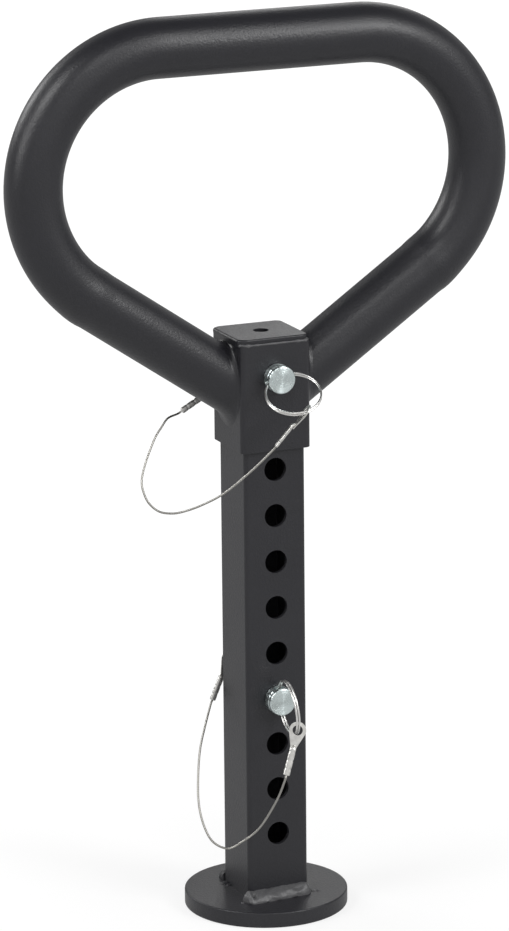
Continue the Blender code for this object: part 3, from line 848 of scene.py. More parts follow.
@dataclass
class Workshop:
    """What every sub-assembly shares: the finishes, and the geometry trees with the calls that run them."""

    finishes: Finishes = field(default_factory=Finishes)
    swept_bar: NodeSheet = field(default_factory=swept_bar_tree)
    pierced_tube: NodeSheet = field(default_factory=pierced_tube_tree)

    def grow(self, name: str, data: bpy.types.ID, sheet: NodeSheet, **values: object) -> bpy.types.Mesh:
        """Run a geometry tree on data and give its result as a plain mesh.

        Args:
            name: the name of the mesh.
            data: the curve or mesh that the tree starts from.
            sheet: the tree's sheet.
            values: input values by socket name, with _ for a space.

        Returns:
            The mesh, with the finish that the tree set.
        """
        obj = add_object(name + "_start", data)
        modifier = obj.modifiers.new(sheet.tree.name, "NODES")
        modifier.node_group = sheet.tree
        for key, value in values.items():
            modifier[sheet.inputs[key.replace("_", " ")]] = value
        mesh = plain_mesh(obj, name)
        bpy.data.objects.remove(obj, do_unlink=True)
        return mesh

    def sweep(self, name: str, points: list[Vector], radius: float, finish: bpy.types.Material,
              closed: bool = False, scale: list[float] | None = None, **values: object) -> bpy.types.Mesh:
        """Sweep a bar along points with the swept_bar tree.

        Args:
            name: the name of the mesh.
            points: the centre line.
            radius: the bar's radius.
            finish: its material.
            closed: whether the bar closes on itself.
            scale: each point's share of the radius.
            values: other inputs of the tree by name, with _ for a space.

        Returns:
            The mesh.
        """
        curve = bpy.data.curves.new(name + "_path", "CURVE")
        curve.dimensions = "3D"
        spline = curve.splines.new("POLY")
        spline.points.add(len(points) - 1)
        spline.use_cyclic_u = closed
        for index, (place, point) in enumerate(zip(points, spline.points)):
            point.co = (*place, 1.0)
            point.radius = scale[index] if scale else 1.0
        return self.grow(name, curve, self.swept_bar, Radius=radius, Finish=finish, **values)

    def drilled_tube(self, name: str, edge: float, **values: float) -> bpy.types.Mesh:
        """Build a coated square tube with the pierced_tube tree and ease the edges of its holes.

        Args:
            name: the name of the mesh.
            edge: the width of the eased edges.
            values: the tube's sizes by socket name, with _ for a space.

        Returns:
            The mesh.
        """
        start = bpy.data.meshes.new(name + "_start")
        mesh = self.grow(name, start, self.pierced_tube, Bore=HOLE_BORE, Pitch=HOLE_PITCH,
                         Finish=self.finishes.coat(), **values)
        return carve(mesh, [], bevel=edge, angle=50.0)


# sub-assemblies

@dataclass(frozen=True)
class Blob:
    """A lump or crater on a bead: its place along and across, its widths and its height, in mm."""

    along: float
    across: float
    width: float
    spread: float
    height: float

    def swell(self, x: float, share: float) -> float:
        """Height that the blob adds at x and at a share of the way across the bead."""
        far = ((x / MM - self.along) / self.width) ** 2 + ((share - self.across) / self.spread) ** 2
        return self.height * MM * math.exp(-far)


@dataclass
class Base:
    """The round disc, the post that stands on it and the weld beads at its foot.

    A drop of spatter is given by x, y, radius and height, in mm.
    """

    shop: Workshop
    disc_radius: float = 44.4 * MM
    disc_edge: float = 1.0 * MM
    corner: float = 2.5 * MM
    inner_corner: float = 0.4 * MM
    holes: int = 11
    hole_edge: float = 0.3 * MM
    rise_left: float = 4.7 * MM
    rise_right: float = 5.7 * MM
    reach_left: float = 8.4 * MM
    reach_right: float = 5.2 * MM
    overrun_front: float = 3.6 * MM
    overrun_back: float = 1.4 * MM
    overrun_right: float = 0.8 * MM
    sunk: float = 1.0 * MM
    front_blobs: tuple[Blob, ...] = (
        Blob(-20.4, 0.85, 1.5, 0.25, 0.9), Blob(-20.3, 0.55, 0.7, 0.14, 0.9),
        Blob(-19.7, 0.15, 0.9, 0.16, -1.0), Blob(-18.6, 0.25, 1.9, 0.3, 1.7),
        Blob(-16.6, 0.4, 1.2, 0.2, -2.2), Blob(-4.0, 0.75, 3.2, 0.3, 0.3), Blob(6.5, 0.7, 2.6, 0.3, 0.4),
        Blob(10.6, 0.45, 2.2, 0.18, -0.8), Blob(14.0, 0.3, 2.4, 0.3, 0.6))
    back_blobs: tuple[Blob, ...] = (
        Blob(-16.0, 0.5, 2.0, 0.4, 0.4), Blob(3.0, 0.6, 2.0, 0.3, 0.4), Blob(16.0, 0.4, 1.4, 0.2, -0.8))
    front_drops: tuple[tuple[float, float, float, float], ...] = (
        (20.2, -18.4, 1.7, 0.6), (22.4, -19.2, 0.9, 0.7), (-22.8, -20.6, 0.8, 0.5))
    # the back drops are spatter in the plain coat, set at the post's back-left foot, where they also stand
    # in for the shade at that corner as painted shade
    back_spatter_and_shade: tuple[tuple[float, float, float, float], ...] = (
        (-18.6, 12.6, 2.6, 1.2), (-18.1, 8.8, 1.5, 0.8))

    def build_disc(self) -> None:
        """The base disc with softly rounded edges."""
        profile = [(0.0, DISC_TOP), (self.disc_radius, DISC_TOP), (self.disc_radius, 0.0), (0.0, 0.0)]
        for index in (2, 1):
            round_corner(profile, index, self.disc_edge, 5)
        mesh = lathe("disc", profile, 180, self.shop.finishes.coat())
        place_piece("disc", mesh, Body.POST, ("base_disc",))

    def build_post(self) -> None:
        """The pierced square tube with its hole edges eased."""
        mesh = self.shop.drilled_tube(
            "post", self.hole_edge, Side=POST_SIDE, Corner=self.corner, Inner_Corner=self.inner_corner,
            Wall=POST_WALL, Bottom=DISC_TOP - SEAT_GAP, Top=COLLAR_TOP_Z, First_Hole=FIRST_HOLE_Z,
            Holes=self.holes)
        place_piece("post", mesh, Body.POST, ("post_tube",))

    def bead_relief(self, x: float, across: float, side: int, blobs: tuple[Blob, ...]) -> float:
        """How far a spot of a bead stands out of its plain round form.

        Args:
            x: the spot's place along the post's face.
            across: its share of the way from the post down to the disc.
            side: -1 for the front and 1 for the back.
            blobs: the lumps and craters on the bead.

        Returns:
            The height.
        """
        # uneven lay of the bead, calmer towards the disc
        grain = 0.4 * noise.noise(Vector((x * 230, across * 3.3, side * 3.0)))
        grain += 0.24 * noise.noise(Vector((x * 430, across * 7.26, side * 5.0)))
        grain *= 1 - 0.55 * across ** 2
        # bowed ripples of the cooled pool, strongest half way across
        swing = math.sin(math.pi * across)
        bend = 1.6 * swing + 2.5 * noise.noise(Vector((x * 90, side * 7.0, 0)))
        ripple = 0.02 * math.sin(x * 2900 + bend) * swing
        return sum(blob.swell(x, across) for blob in blobs) + (grain + ripple) * MM

    def bead_mesh(self, name: str, side: int, blobs: tuple[Blob, ...],
                  finish: bpy.types.Material) -> bpy.types.Mesh:
        """A hand laid bead along the foot, from the post's face down to the disc.

        Args:
            name: the name of the mesh.
            side: -1 for the front and 1 for the back.
            blobs: the lumps and craters on it.
            finish: its material.

        Returns:
            The closed mesh.
        """
        face = POST_SIDE / 2
        left = -face - (self.overrun_front if side < 0 else self.overrun_back)
        right = face + self.overrun_right
        columns, rows = 170, 22
        sections = []
        for share in shares(columns):
            x = between(left, right, share)
            # full all along, and rounded off at both ends
            blunt = math.sqrt(max(0.02, 1 - abs(2 * share - 1) ** 14))
            rise = blunt * between(self.rise_left, self.rise_right, share)
            reach = blunt * between(self.reach_left, self.reach_right, share)
            section = []
            for row in range(rows + 1):
                angle = math.pi / 2 * row / rows
                out = Vector((0, side * math.sin(angle), math.cos(angle)))
                spot = Vector((x, side * face + reach * out.y, DISC_TOP + rise * out.z))
                section.append(spot + out * self.bead_relief(x, row / rows, side, blobs) * blunt)
            section.append(Vector((x, side * (face + 0.5 * reach), DISC_TOP - self.sunk)))
            section.append(Vector((x, side * (face - self.sunk), DISC_TOP - self.sunk)))
            sections.append(section)
        return loft(name, sections, finish)

    def spatter_mesh(self, name: str, drops: tuple[tuple[float, float, float, float], ...],
                     finish: bpy.types.Material) -> bpy.types.Mesh:
        """Small drops of weld on the disc beside the foot.

        Args:
            name: the name of the mesh.
            drops: x, y, radius and height of each drop in mm.
            finish: the material of the drops.

        Returns:
            The mesh.
        """
        bm = bmesh.new()
        for drop in drops:
            x, y, radius, height = (size * MM for size in drop)
            for vert in bmesh.ops.create_icosphere(bm, subdivisions=4, radius=1.0)["verts"]:
                lump = 1 + 0.22 * noise.noise(vert.co * 1.3 + Vector((x * 900, y * 900, 0)))
                vert.co = Vector((x + radius * vert.co.x * lump, y + radius * vert.co.y * lump,
                                  DISC_TOP + height * vert.co.z * lump))
        return finish_bmesh(bm, name, finish)

    def build_foot_welds(self) -> None:
        """The beads in front and behind, and the spatter beside them."""
        finishes = self.shop.finishes
        # the front bead and its drops take the weld finish, whose lighter tone is painted light; the back
        # ones keep the plain coat
        for name, side, blobs, finish in (("front", -1, self.front_blobs, finishes.weld()),
                                          ("back", 1, self.back_blobs, finishes.coat())):
            mesh = self.bead_mesh("foot_bead_" + name, side, blobs, finish)
            place_piece("foot_bead_" + name, mesh, Body.POST, ("foot_weld_" + name,), SOFT_EDGES)
        for name, drops, finish in (("foot_spatter_front", self.front_drops, finishes.weld()),
                                    ("foot_spatter_back_and_shade", self.back_spatter_and_shade, finishes.coat())):
            place_piece(name, self.spatter_mesh(name, drops, finish), Body.POST, (), SOFT_EDGES)

    def build(self) -> None:
        """Build every piece of the base in order."""
        self.build_disc()
        self.build_post()
        self.build_foot_welds()


@dataclass
class Handle:
    """The collar with its cap plate and the bent tube grip welded to its sides.

    The cap's neck and skirt are each given by their inset from the rim, the further inset on the
    left, and the share of the left lip's drop. A tack is given by x, y, size and width, in mm.
    """

    shop: Workshop
    corner: float = 3.0 * MM
    inner_corner: float = 1.0 * MM
    hole_edge: float = 0.35 * MM
    cap_side: float = 38.6 * MM
    cap_thickness: float = 3.0 * MM
    cap_corner: float = 4.0 * MM
    cap_edge: float = 0.9 * MM
    cap_edge_left: float = 0.4 * MM
    cap_flat_inset: float = 2.6 * MM
    cap_neck: tuple[float, float, float] = (0.28 * MM, 0.6 * MM, 0.0)
    cap_skirt: tuple[float, float, float] = (0.25 * MM, 0.15 * MM, 1.0)
    cap_hole: float = 8.4 * MM
    cap_hole_edge: float = 0.35 * MM
    cap_lip: float = 1.7 * MM
    lip_drop: float = 1.1 * MM
    undercut: float = 0.3 * MM
    undercut_left: float = 1.7 * MM
    seam: float = 0.5 * MM
    seam_gap: float = 0.3 * MM
    tacks: tuple[tuple[float, float, float, float], ...] = (
        (-18.6, -17.6, 1.2, 1.5), (-15.5, -19.0, 1.1, 1.5), (-10.5, -19.3, 0.5, 1.2),
        (-2.0, -19.3, 0.3, 3.0), (4.5, -19.3, 0.4, 2.0), (13.0, -19.2, 0.8, 1.6),
        (17.8, -18.2, 1.4, 1.7), (19.2, -9.0, 0.9, 2.0))
    grip_radius: float = 16.0 * MM
    grip_wall: float = 2.6 * MM
    bend_radius: float = 70.4 * MM
    half_top: float = 56.5 * MM
    leg_slope: float = math.radians(34.4)
    leg_below_top: float = 22.4 * MM
    bend_thinning: float = 0.045
    shoe_mark: float = 0.022
    shoe_mark_at: float = 0.985
    shoe_mark_width: float = 0.035
    fillet: float = 5.2 * MM
    fillet_climb: float = 1.6
    fillet_bite: float = 0.06 * MM
    fillet_clear_left: float = 1.4 * MM
    fillet_clear_right: float = 0.4 * MM

    def build_collar(self) -> None:
        """The square collar with its pin hole."""
        mesh = self.shop.drilled_tube(
            "collar", self.hole_edge, Side=COLLAR_SIDE, Corner=self.corner, Inner_Corner=self.inner_corner,
            Wall=COLLAR_WALL, Bottom=COLLAR_BOTTOM_Z, Top=COLLAR_TOP_Z, First_Hole=UPPER_PIN_Z, Holes=1)
        place_piece("collar", mesh, Body.HANDLE, ("collar_tube",))

    def rim_points(self, half: float, corner: float, steps: int = 10) -> list[tuple[Vector, Vector]]:
        """Points and outward directions round a square with rounded corners.

        Args:
            half: half of its side.
            corner: its corner radius.
            steps: chords in each corner.

        Returns:
            The point and direction pairs, both flat.
        """
        flat = half - corner
        rim = []
        for quarter, (cx, cy) in enumerate(((flat, flat), (-flat, flat), (-flat, -flat), (flat, -flat))):
            for step in range(steps + 1):
                angle = math.pi / 2 * (quarter + step / steps)
                out = Vector((math.cos(angle), math.sin(angle), 0))
                rim.append((Vector((cx, cy, 0)) + out * corner, out))
        return rim

    def cap_rim(self) -> list[tuple[Vector, Vector]]:
        """The cap's outline and outward directions, with a lip that hangs over on the left."""
        return [(spot - Vector((self.cap_lip * leftness(out), 0, 0)), out)
                for spot, out in self.rim_points(self.cap_side / 2, self.cap_corner)]

    def tuck(self, spot: Vector, out: Vector) -> Vector:
        """Where the cap's lower edge lies under a rim point: the left side is undercut most."""
        return spot - out * (self.undercut + self.undercut_left * leftness(out))

    def cap_side_layer(self, inset: float, inset_left: float, hang: float) -> list[Vector]:
        """Points round the cap's side under its rounded edge.

        Args:
            inset: how far they lie in from the rim.
            inset_left: how much further in on the left.
            hang: how much of the left lip's drop they take.

        Returns:
            The points.
        """
        layer = []
        for spot, out in self.cap_rim():
            left = leftness(out)
            fall = hang * (self.lip_drop * left - self.seam_gap * (1 - left))
            level = COLLAR_TOP_Z + 0.05 * MM - fall
            layer.append(spot - out * (inset + inset_left * left) + Vector((0, 0, level)))
        return layer

    def build_cap(self) -> None:
        """The cap plate with a hole in its middle and edges rounded by the shears, the left one most."""
        low = COLLAR_TOP_Z
        high = low + SEAT_GAP + self.cap_thickness
        rim = self.cap_rim()
        layers = [[self.tuck(spot, out) + Vector((0, 0, low)) for spot, out in rim],
                  self.cap_side_layer(*self.cap_neck), self.cap_side_layer(*self.cap_skirt)]
        chords = 5
        for step in range(chords + 1):
            angle = math.pi / 2 * step / chords
            layer = []
            for spot, out in rim:
                fall = self.cap_edge + self.cap_edge_left * leftness(out)
                level = high - fall * (1 - math.sin(angle))
                layer.append(spot - out * fall * (1 - math.cos(angle)) + Vector((0, 0, level)))
            layers.append(layer)
        inset = self.cap_flat_inset
        flat = self.rim_points(self.cap_side / 2 - inset, self.cap_corner - inset)
        layers.append([spot + Vector((0, 0, high)) for spot, _ in flat])
        mesh = loft("cap", layers, self.shop.finishes.coat())
        drill = cylinder("cap_drill", self.cap_hole, Vector((0, 0, low - 10.0 * MM)),
                         Vector((0, 0, low + 20.0 * MM)))
        mesh = carve(mesh, [drill], bevel=self.cap_hole_edge, angle=60.0, segments=3)
        place_piece("cap", mesh, Body.HANDLE, ("cap_plate",))

    def build_cap_seam(self) -> None:
        """The thin tacked seam under the cap's edge."""
        points = [self.tuck(spot, out) + out * self.seam_gap + Vector((0, 0, COLLAR_TOP_Z + 0.1 * MM))
                  for spot, out in self.cap_rim()]
        fine = smooth_route(points + [points[0]], 0.35 * MM)[0][:-1]
        scale = []
        for spot in fine:
            lump = sum(size * math.exp(-((spot.xy / MM - Vector((x, y))).length / width) ** 2)
                       for x, y, size, width in self.tacks)
            under_lip = spot.x < -self.cap_side / 2 + 1.2 * MM and abs(spot.y) < 15 * MM
            scale.append((0.3 if under_lip else 1.0) + lump + 0.15 * noise.noise(spot * 700))
        # the seam takes the weld finish, whose lighter tone is painted light along it
        mesh = self.shop.sweep("cap_seam", fine, self.seam, self.shop.finishes.weld(), closed=True,
                               scale=scale, Sides=12)
        place_piece("cap_seam", mesh, Body.HANDLE, (), SOFT_EDGES)

    def grip_line(self, radius: float) -> tuple[list[Vector], list[float]]:
        """Fine centre line of the grip and each point's share of the tube's radius.

        Args:
            radius: the radius for which the legs run on inside the collar.

        Returns:
            The points and the shares.
        """
        turn = math.pi - self.leg_slope
        seat_x = COLLAR_SIDE / 2
        seat_z = COLLAR_TOP_Z - self.leg_below_top
        bend_end_x = self.half_top + self.bend_radius * math.sin(turn)
        rise = (bend_end_x - seat_x) * math.tan(self.leg_slope)
        top_z = seat_z + rise + self.bend_radius * (1 - math.cos(turn))
        top_chords = 6
        right = [(self.half_top * step / top_chords, top_z, 1.0) for step in range(top_chords)]
        for share in shares(60):
            mark = self.shoe_mark * math.exp(-((share - self.shoe_mark_at) / self.shoe_mark_width) ** 2)
            right.append((self.half_top + self.bend_radius * math.sin(turn * share),
                          top_z - self.bend_radius * (1 - math.cos(turn * share)),
                          1 - self.bend_thinning * math.sin(math.pi * share) + mark))
        # the leg runs on into the collar, where the seat cuts it flat
        reach = radius * math.tan(self.leg_slope) * math.cos(self.leg_slope) + 1.0 * MM
        leg_stations = (0.04, 0.08, 0.12, 0.5, 1.0)
        for share in leg_stations:
            end_x = seat_x + (1 - share) * (bend_end_x - seat_x) - (reach if share == 1.0 else 0.0)
            right.append((end_x, seat_z - (seat_x - end_x) * math.tan(self.leg_slope), 1.0))
        whole = [(-x, z, s) for x, z, s in right[:0:-1]] + right
        return [Vector((x, 0.0, z)) for x, z, _ in whole], [s for _, _, s in whole]

    def grip_bar(self, name: str, radius: float, sides: int) -> bpy.types.Mesh:
        """A solid bar along the grip's line.

        Args:
            name: the name of the mesh.
            radius: its radius.
            sides: the number of its sides.

        Returns:
            The mesh.
        """
        points, scale = self.grip_line(radius)
        return self.shop.sweep(name, points, radius, self.shop.finishes.coat(), scale=scale, Sides=sides)

    def build_grip(self) -> None:
        """The bent tube, open inside, its legs cut flat against the collar."""
        tube = self.grip_bar("grip", self.grip_radius, 72)
        bore = self.grip_bar("grip_bore", self.grip_radius - self.grip_wall, 40)
        side, height = COLLAR_SIDE + 2 * SEAT_GAP, 120.0 * MM
        seat = block("grip_seat", (side, side, height), COLLAR_TOP_Z - 30.0 * MM)
        place_piece("grip", carve(tube, [bore, seat]), Body.HANDLE, ("grip_tube",))

    def fillet_section(self, side: int, angle: float) -> list[Vector]:
        """One section through a leg's fillet, from inside the leg over its face to the collar.

        Args:
            side: -1 for the left leg and 1 for the right one.
            angle: the section's bearing round the leg, from the back over its top.

        Returns:
            The section's points.
        """
        face = COLLAR_SIDE / 2
        seat_z = COLLAR_TOP_Z - self.leg_below_top
        leg = Vector((side * math.cos(self.leg_slope), 0, math.sin(self.leg_slope)))
        up = Vector((-side * math.sin(self.leg_slope), 0, math.cos(self.leg_slope)))
        ray = Vector((0, math.cos(angle), 0)) + up * math.sin(angle)
        base = Vector((side * face, 0, seat_z)) + ray * self.grip_radius
        toe = base + leg * ((face - side * base.x) / math.cos(self.leg_slope))
        toe.x = side * face
        out = Vector((0, toe.y, toe.z - seat_z)).normalized()
        # the fillet's size wavers, and it is small on the front
        size = self.fillet * (1 + 0.04 * math.sin(5 * angle + side) + 0.02 * math.sin(11 * angle + 1.3))
        size *= 1 - 0.55 * max(0.0, -math.cos(angle)) ** 1.5
        heel = toe + leg * size * self.fillet_climb
        foot = toe + out * size
        # the foot stays below the cap and follows the collar's rounded edge
        clear = self.fillet_clear_left if side < 0 else self.fillet_clear_right
        foot.z = min(foot.z, COLLAR_TOP_Z - clear)
        flat = face - 0.5 * MM
        foot.y = max(-flat, min(flat, foot.y))
        over = abs(foot.y) - (face - self.corner)
        if over > 0:
            drop = self.corner - math.sqrt(max(0.0, self.corner ** 2 - over ** 2))
            foot.x = side * (face - drop)
        # a hollow run from heel to foot, with a slightly uneven skin
        pull = toe.lerp((heel + foot) / 2, 0.12)
        section = [toe - leg * 1.2 * MM - out * 0.8 * MM]
        for t in shares(11):
            spot = heel * (1 - t) ** 2 + pull * 2 * t * (1 - t) + foot * t ** 2
            lump = 4 * t * (1 - t) * (0.1 + 0.2 * noise.noise(spot * 170) + 0.05 * noise.noise(spot * 600))
            section.append(spot + (ray + leg).normalized() * lump * MM)
        section[1] -= ray * self.fillet_bite
        section[-1].x -= side * self.fillet_bite
        return section

    def build_grip_welds(self) -> None:
        """The smooth fillet round each leg where it meets the collar's side."""
        steps = 144
        for name, side in (("left", -1), ("right", 1)):
            sections = [self.fillet_section(side, TURN * k / steps) for k in range(steps)]
            mesh = loft("grip_fillet_" + name, sections, self.shop.finishes.coat(), closed=True)
            place_piece("grip_fillet_" + name, mesh, Body.HANDLE, ("grip_weld_" + name,), 50.0)

    def build(self) -> None:
        """Build every piece of the handle in order."""
        self.build_collar()
        self.build_cap()
        self.build_cap_seam()
        self.build_grip()
        self.build_grip_welds()


@dataclass
class Terminal:
    """A stamped and crimped cable end, along +X from its eyelet's centre."""

    shop: Workshop
    eyelet: float = 9.2 * MM
    hole: float = 5.4 * MM
    neck: float = 3.4 * MM
    barrel_start: float = 8.0 * MM
    barrel_end: float = 24.6 * MM
    barrel_width: float = 3.6 * MM
    barrel_height: float = 2.2 * MM
    barrel_rise: float = 1.1 * MM
    crimps: tuple[float, ...] = (0.22, 0.5, 0.78)
    crimp_depth: float = 0.09
    crimp_width: float = 0.035

    def tab(self) -> bpy.types.Mesh:
        """The flat keyhole outline of eyelet and neck, with its hole and eased edges.

        Returns:
            The mesh.
        """
        radius = self.eyelet / 2
        shoulder = Vector((self.barrel_start + 1.2 * MM, self.neck / 2))
        tip = shoulder.x + 1.6 * MM
        start = math.atan2(shoulder.y, shoulder.x) + math.acos(radius / shoulder.length)
        outline = []
        for share in shares(48):
            angle = between(start, TURN - start, share)
            outline.append((radius * math.cos(angle), radius * math.sin(angle)))
        outline += [(shoulder.x, -shoulder.y), (tip, -shoulder.y), (tip, shoulder.y), tuple(shoulder)]
        half = TAB_THICKNESS / 2
        mesh = loft("tab", [[Vector((x, y, z)) for x, y in outline] for z in (-half, half)],
                    self.shop.finishes.hardware())
        drill = cylinder("eyelet_drill", self.hole, Vector((0, 0, -2 * MM)), Vector((0, 0, 2 * MM)))
        return carve(mesh, [drill], bevel=0.14 * MM, angle=40.0)

    def barrel(self) -> bpy.types.Mesh:
        """The rolled barrel with its crimp grooves, swept along the cable.

        Returns:
            The mesh.
        """
        flatness = self.barrel_height / self.barrel_width
        points = []
        scale = []
        for share in shares(60):
            root = ease(share / 0.17)
            lift = between(0.25, 1.0, root) * self.barrel_rise / flatness
            points.append(Vector((-lift, 0, between(self.barrel_start, self.barrel_end, share))))
            mouth = min(1.0, min(share, 1 - share) / 0.035)
            ends = between(0.5, 1.0, root) * between(0.8, 1.0, math.sqrt(1 - (1 - mouth) ** 2))
            crimp = sum(math.exp(-((share - spot) / self.crimp_width) ** 2) for spot in self.crimps)
            scale.append(ends * (1 - self.crimp_depth * crimp))
        mesh = self.shop.sweep("barrel", points, self.barrel_width / 2, self.shop.finishes.hardware(),
                               scale=scale, Sides=40, Lobes=2, Lobe_Depth=0.14)
        mesh.transform(Matrix.Rotation(math.radians(90), 4, "Y"))
        mesh.transform(Matrix.Diagonal((1, 1, flatness, 1)))
        return mesh

    def build(self, name: str, place: Matrix, body: Body, node: str) -> bpy.types.Object:
        """Build a terminal at its place.

        Args:
            name: the piece's name.
            place: the matrix from the terminal's own frame.
            body: the body that it rides on.
            node: the solid that it stands for.

        Returns:
            The object.
        """
        bm = bmesh.new()
        bm.from_mesh(self.tab())
        bm.from_mesh(self.barrel())
        mesh = bpy.data.meshes.new(name)
        bm.to_mesh(mesh)
        bm.free()
        mesh.materials.append(self.shop.finishes.hardware())
        mesh.transform(place)
        return place_piece(name, mesh, body, (node,), 38.0)


@dataclass
class Lanyard:
    """A wire cable from the ring's eyelet to an eyelet screwed to the back wall."""

    shop: Workshop
    name: str
    pin_body: Body
    carrier: Body
    face: float
    pin_z: float
    spin: float
    hang: tuple[float, float, float]
    shift: float
    link: float
    near_way: tuple[float, float, float]
    near_face: tuple[float, float, float]
    eyelet_x: float
    eyelet_below_pin: float
    far_way: tuple[float, float, float]
    route: tuple[tuple[float, float, float], ...]
    cable: float = 1.2 * MM
    spacing: float = 0.5 * MM
    lay: float = 6.5
    lead: float = 2.5 * MM
    ring_radius: float = 14.6 * MM
    ring_wire: float = 1.05 * MM
    ring_pitch: float = 1.34 * MM
    ring_start: float = math.radians(195.0)
    head_diameter: float = 15.0 * MM
    head_length: float = 8.0 * MM

    def ring_frame(self) -> tuple[Vector, Vector, Vector]:
        """Where the split ring hangs.

        Returns:
            The ring's centre, its hang direction and the way of the hole through the head.
        """
        hole = Vector((0, -self.face - SEAT_GAP - self.head_length / 2, self.pin_z))
        hole_way = Vector((math.cos(self.spin), 0, math.sin(self.spin)))
        hang = Vector(self.hang)
        hang = (hang - hang.dot(hole_way) * hole_way).normalized()
        half = self.head_diameter / 2 + self.shift
        bow = self.ring_radius - math.sqrt(self.ring_radius ** 2 - half ** 2)
        return hole + hang * (self.ring_radius - bow / 2) + hole_way * self.shift, hang, hole_way

    def eyelet(self) -> Vector:
        """The centre of the far eyelet."""
        middle = self.face + SEAT_GAP + TAB_THICKNESS / 2
        return Vector((self.eyelet_x, middle, self.pin_z - self.eyelet_below_pin))

    def build(self, terminal: Terminal) -> None:
        """Build the cable first, then its two ends and the split ring.

        Args:
            terminal: the cable end to use at both ends.
        """
        centre, hang, hole_way = self.ring_frame()
        link = centre + self.ring_radius * (math.cos(self.link) * hang + math.sin(self.link) * hole_way)
        near = frame_matrix(link, Vector(self.near_way), Vector(self.near_face))
        far = frame_matrix(self.eyelet(), Vector(self.far_way), Vector((0, 1, 0)))
        mouth = Vector((terminal.barrel_end + SEAT_GAP, 0, terminal.barrel_rise))
        start = near @ mouth
        end = far @ mouth
        near_way = Vector(self.near_way).normalized()
        far_way = Vector(self.far_way).normalized()
        guide = [start, start + near_way * self.lead] + [Vector(p) * MM for p in self.route]
        guide += [end + far_way * self.lead, end]
        points, length = smooth_route(guide, self.spacing)
        rope = self.build_cable(points)
        near_end = terminal.build(self.name + "_near_end", near, self.pin_body, self.name + "_near_terminal")
        far_end = terminal.build(self.name + "_far_end", far, self.carrier, self.name + "_far_terminal")
        self.build_ring(centre, hang, hole_way)

    def build_cable(self, points: list[Vector]) -> bpy.types.Object:
        """The wire rope of six laid strands.

        Args:
            points: its centre line, from the near end to the far end.

        Returns:
            The wire rope's object.
        """
        turns = len(points) * self.spacing / (self.lay * self.cable)
        mesh = self.shop.sweep(self.name + "_wire_rope", points, self.cable / 2, self.shop.finishes.cable(),
                               Sides=24, Lobes=6, Lobe_Depth=0.07, Lay_Turns=turns)
        mesh.shade_smooth()
        rope = add_object(self.name + "_wire_rope", mesh)
        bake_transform(rope)
        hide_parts(self.name + "_cable")
        LOG.info("%s_wire_rope, %d faces", self.name, len(mesh.polygons))
        return rope

    def build_ring(self, centre: Vector, hang: Vector, hole_way: Vector) -> None:
        """The split ring: two flat turns of wire, whose ends and step lie in the hole through the head.

        Args:
            centre: the ring's centre.
            hang: the direction in which it hangs.
            hole_way: the way of the hole through the head.
        """
        place = frame_matrix(centre, hang, hole_way.cross(hang))
        points = []
        scale = []
        turn_points = 96
        step_points = 10
        short_of_two_turns = 8
        last = 2 * turn_points - short_of_two_turns
        for index in range(last + 1):
            angle = self.ring_start + TURN * index / turn_points
            rise = ease((index - turn_points) / step_points + 1)
            spot = Vector((self.ring_radius * math.cos(angle), self.ring_radius * math.sin(angle),
                           self.ring_pitch * (rise - 0.5)))
            points.append(place @ spot)
            # both ends of the wire are ground thin
            tip = min(index, last - index) / 2
            scale.append(between(0.55, 1.0, min(1.0, tip)))
        mesh = self.shop.sweep(self.name + "_split_ring", points, self.ring_wire / 2,
                               self.shop.finishes.ring(), scale=scale, Sides=16)
        place_piece(self.name + "_split_ring", mesh, Body(self.name + "_ring"),
                    (self.name + "_ring",), SOFT_EDGES)


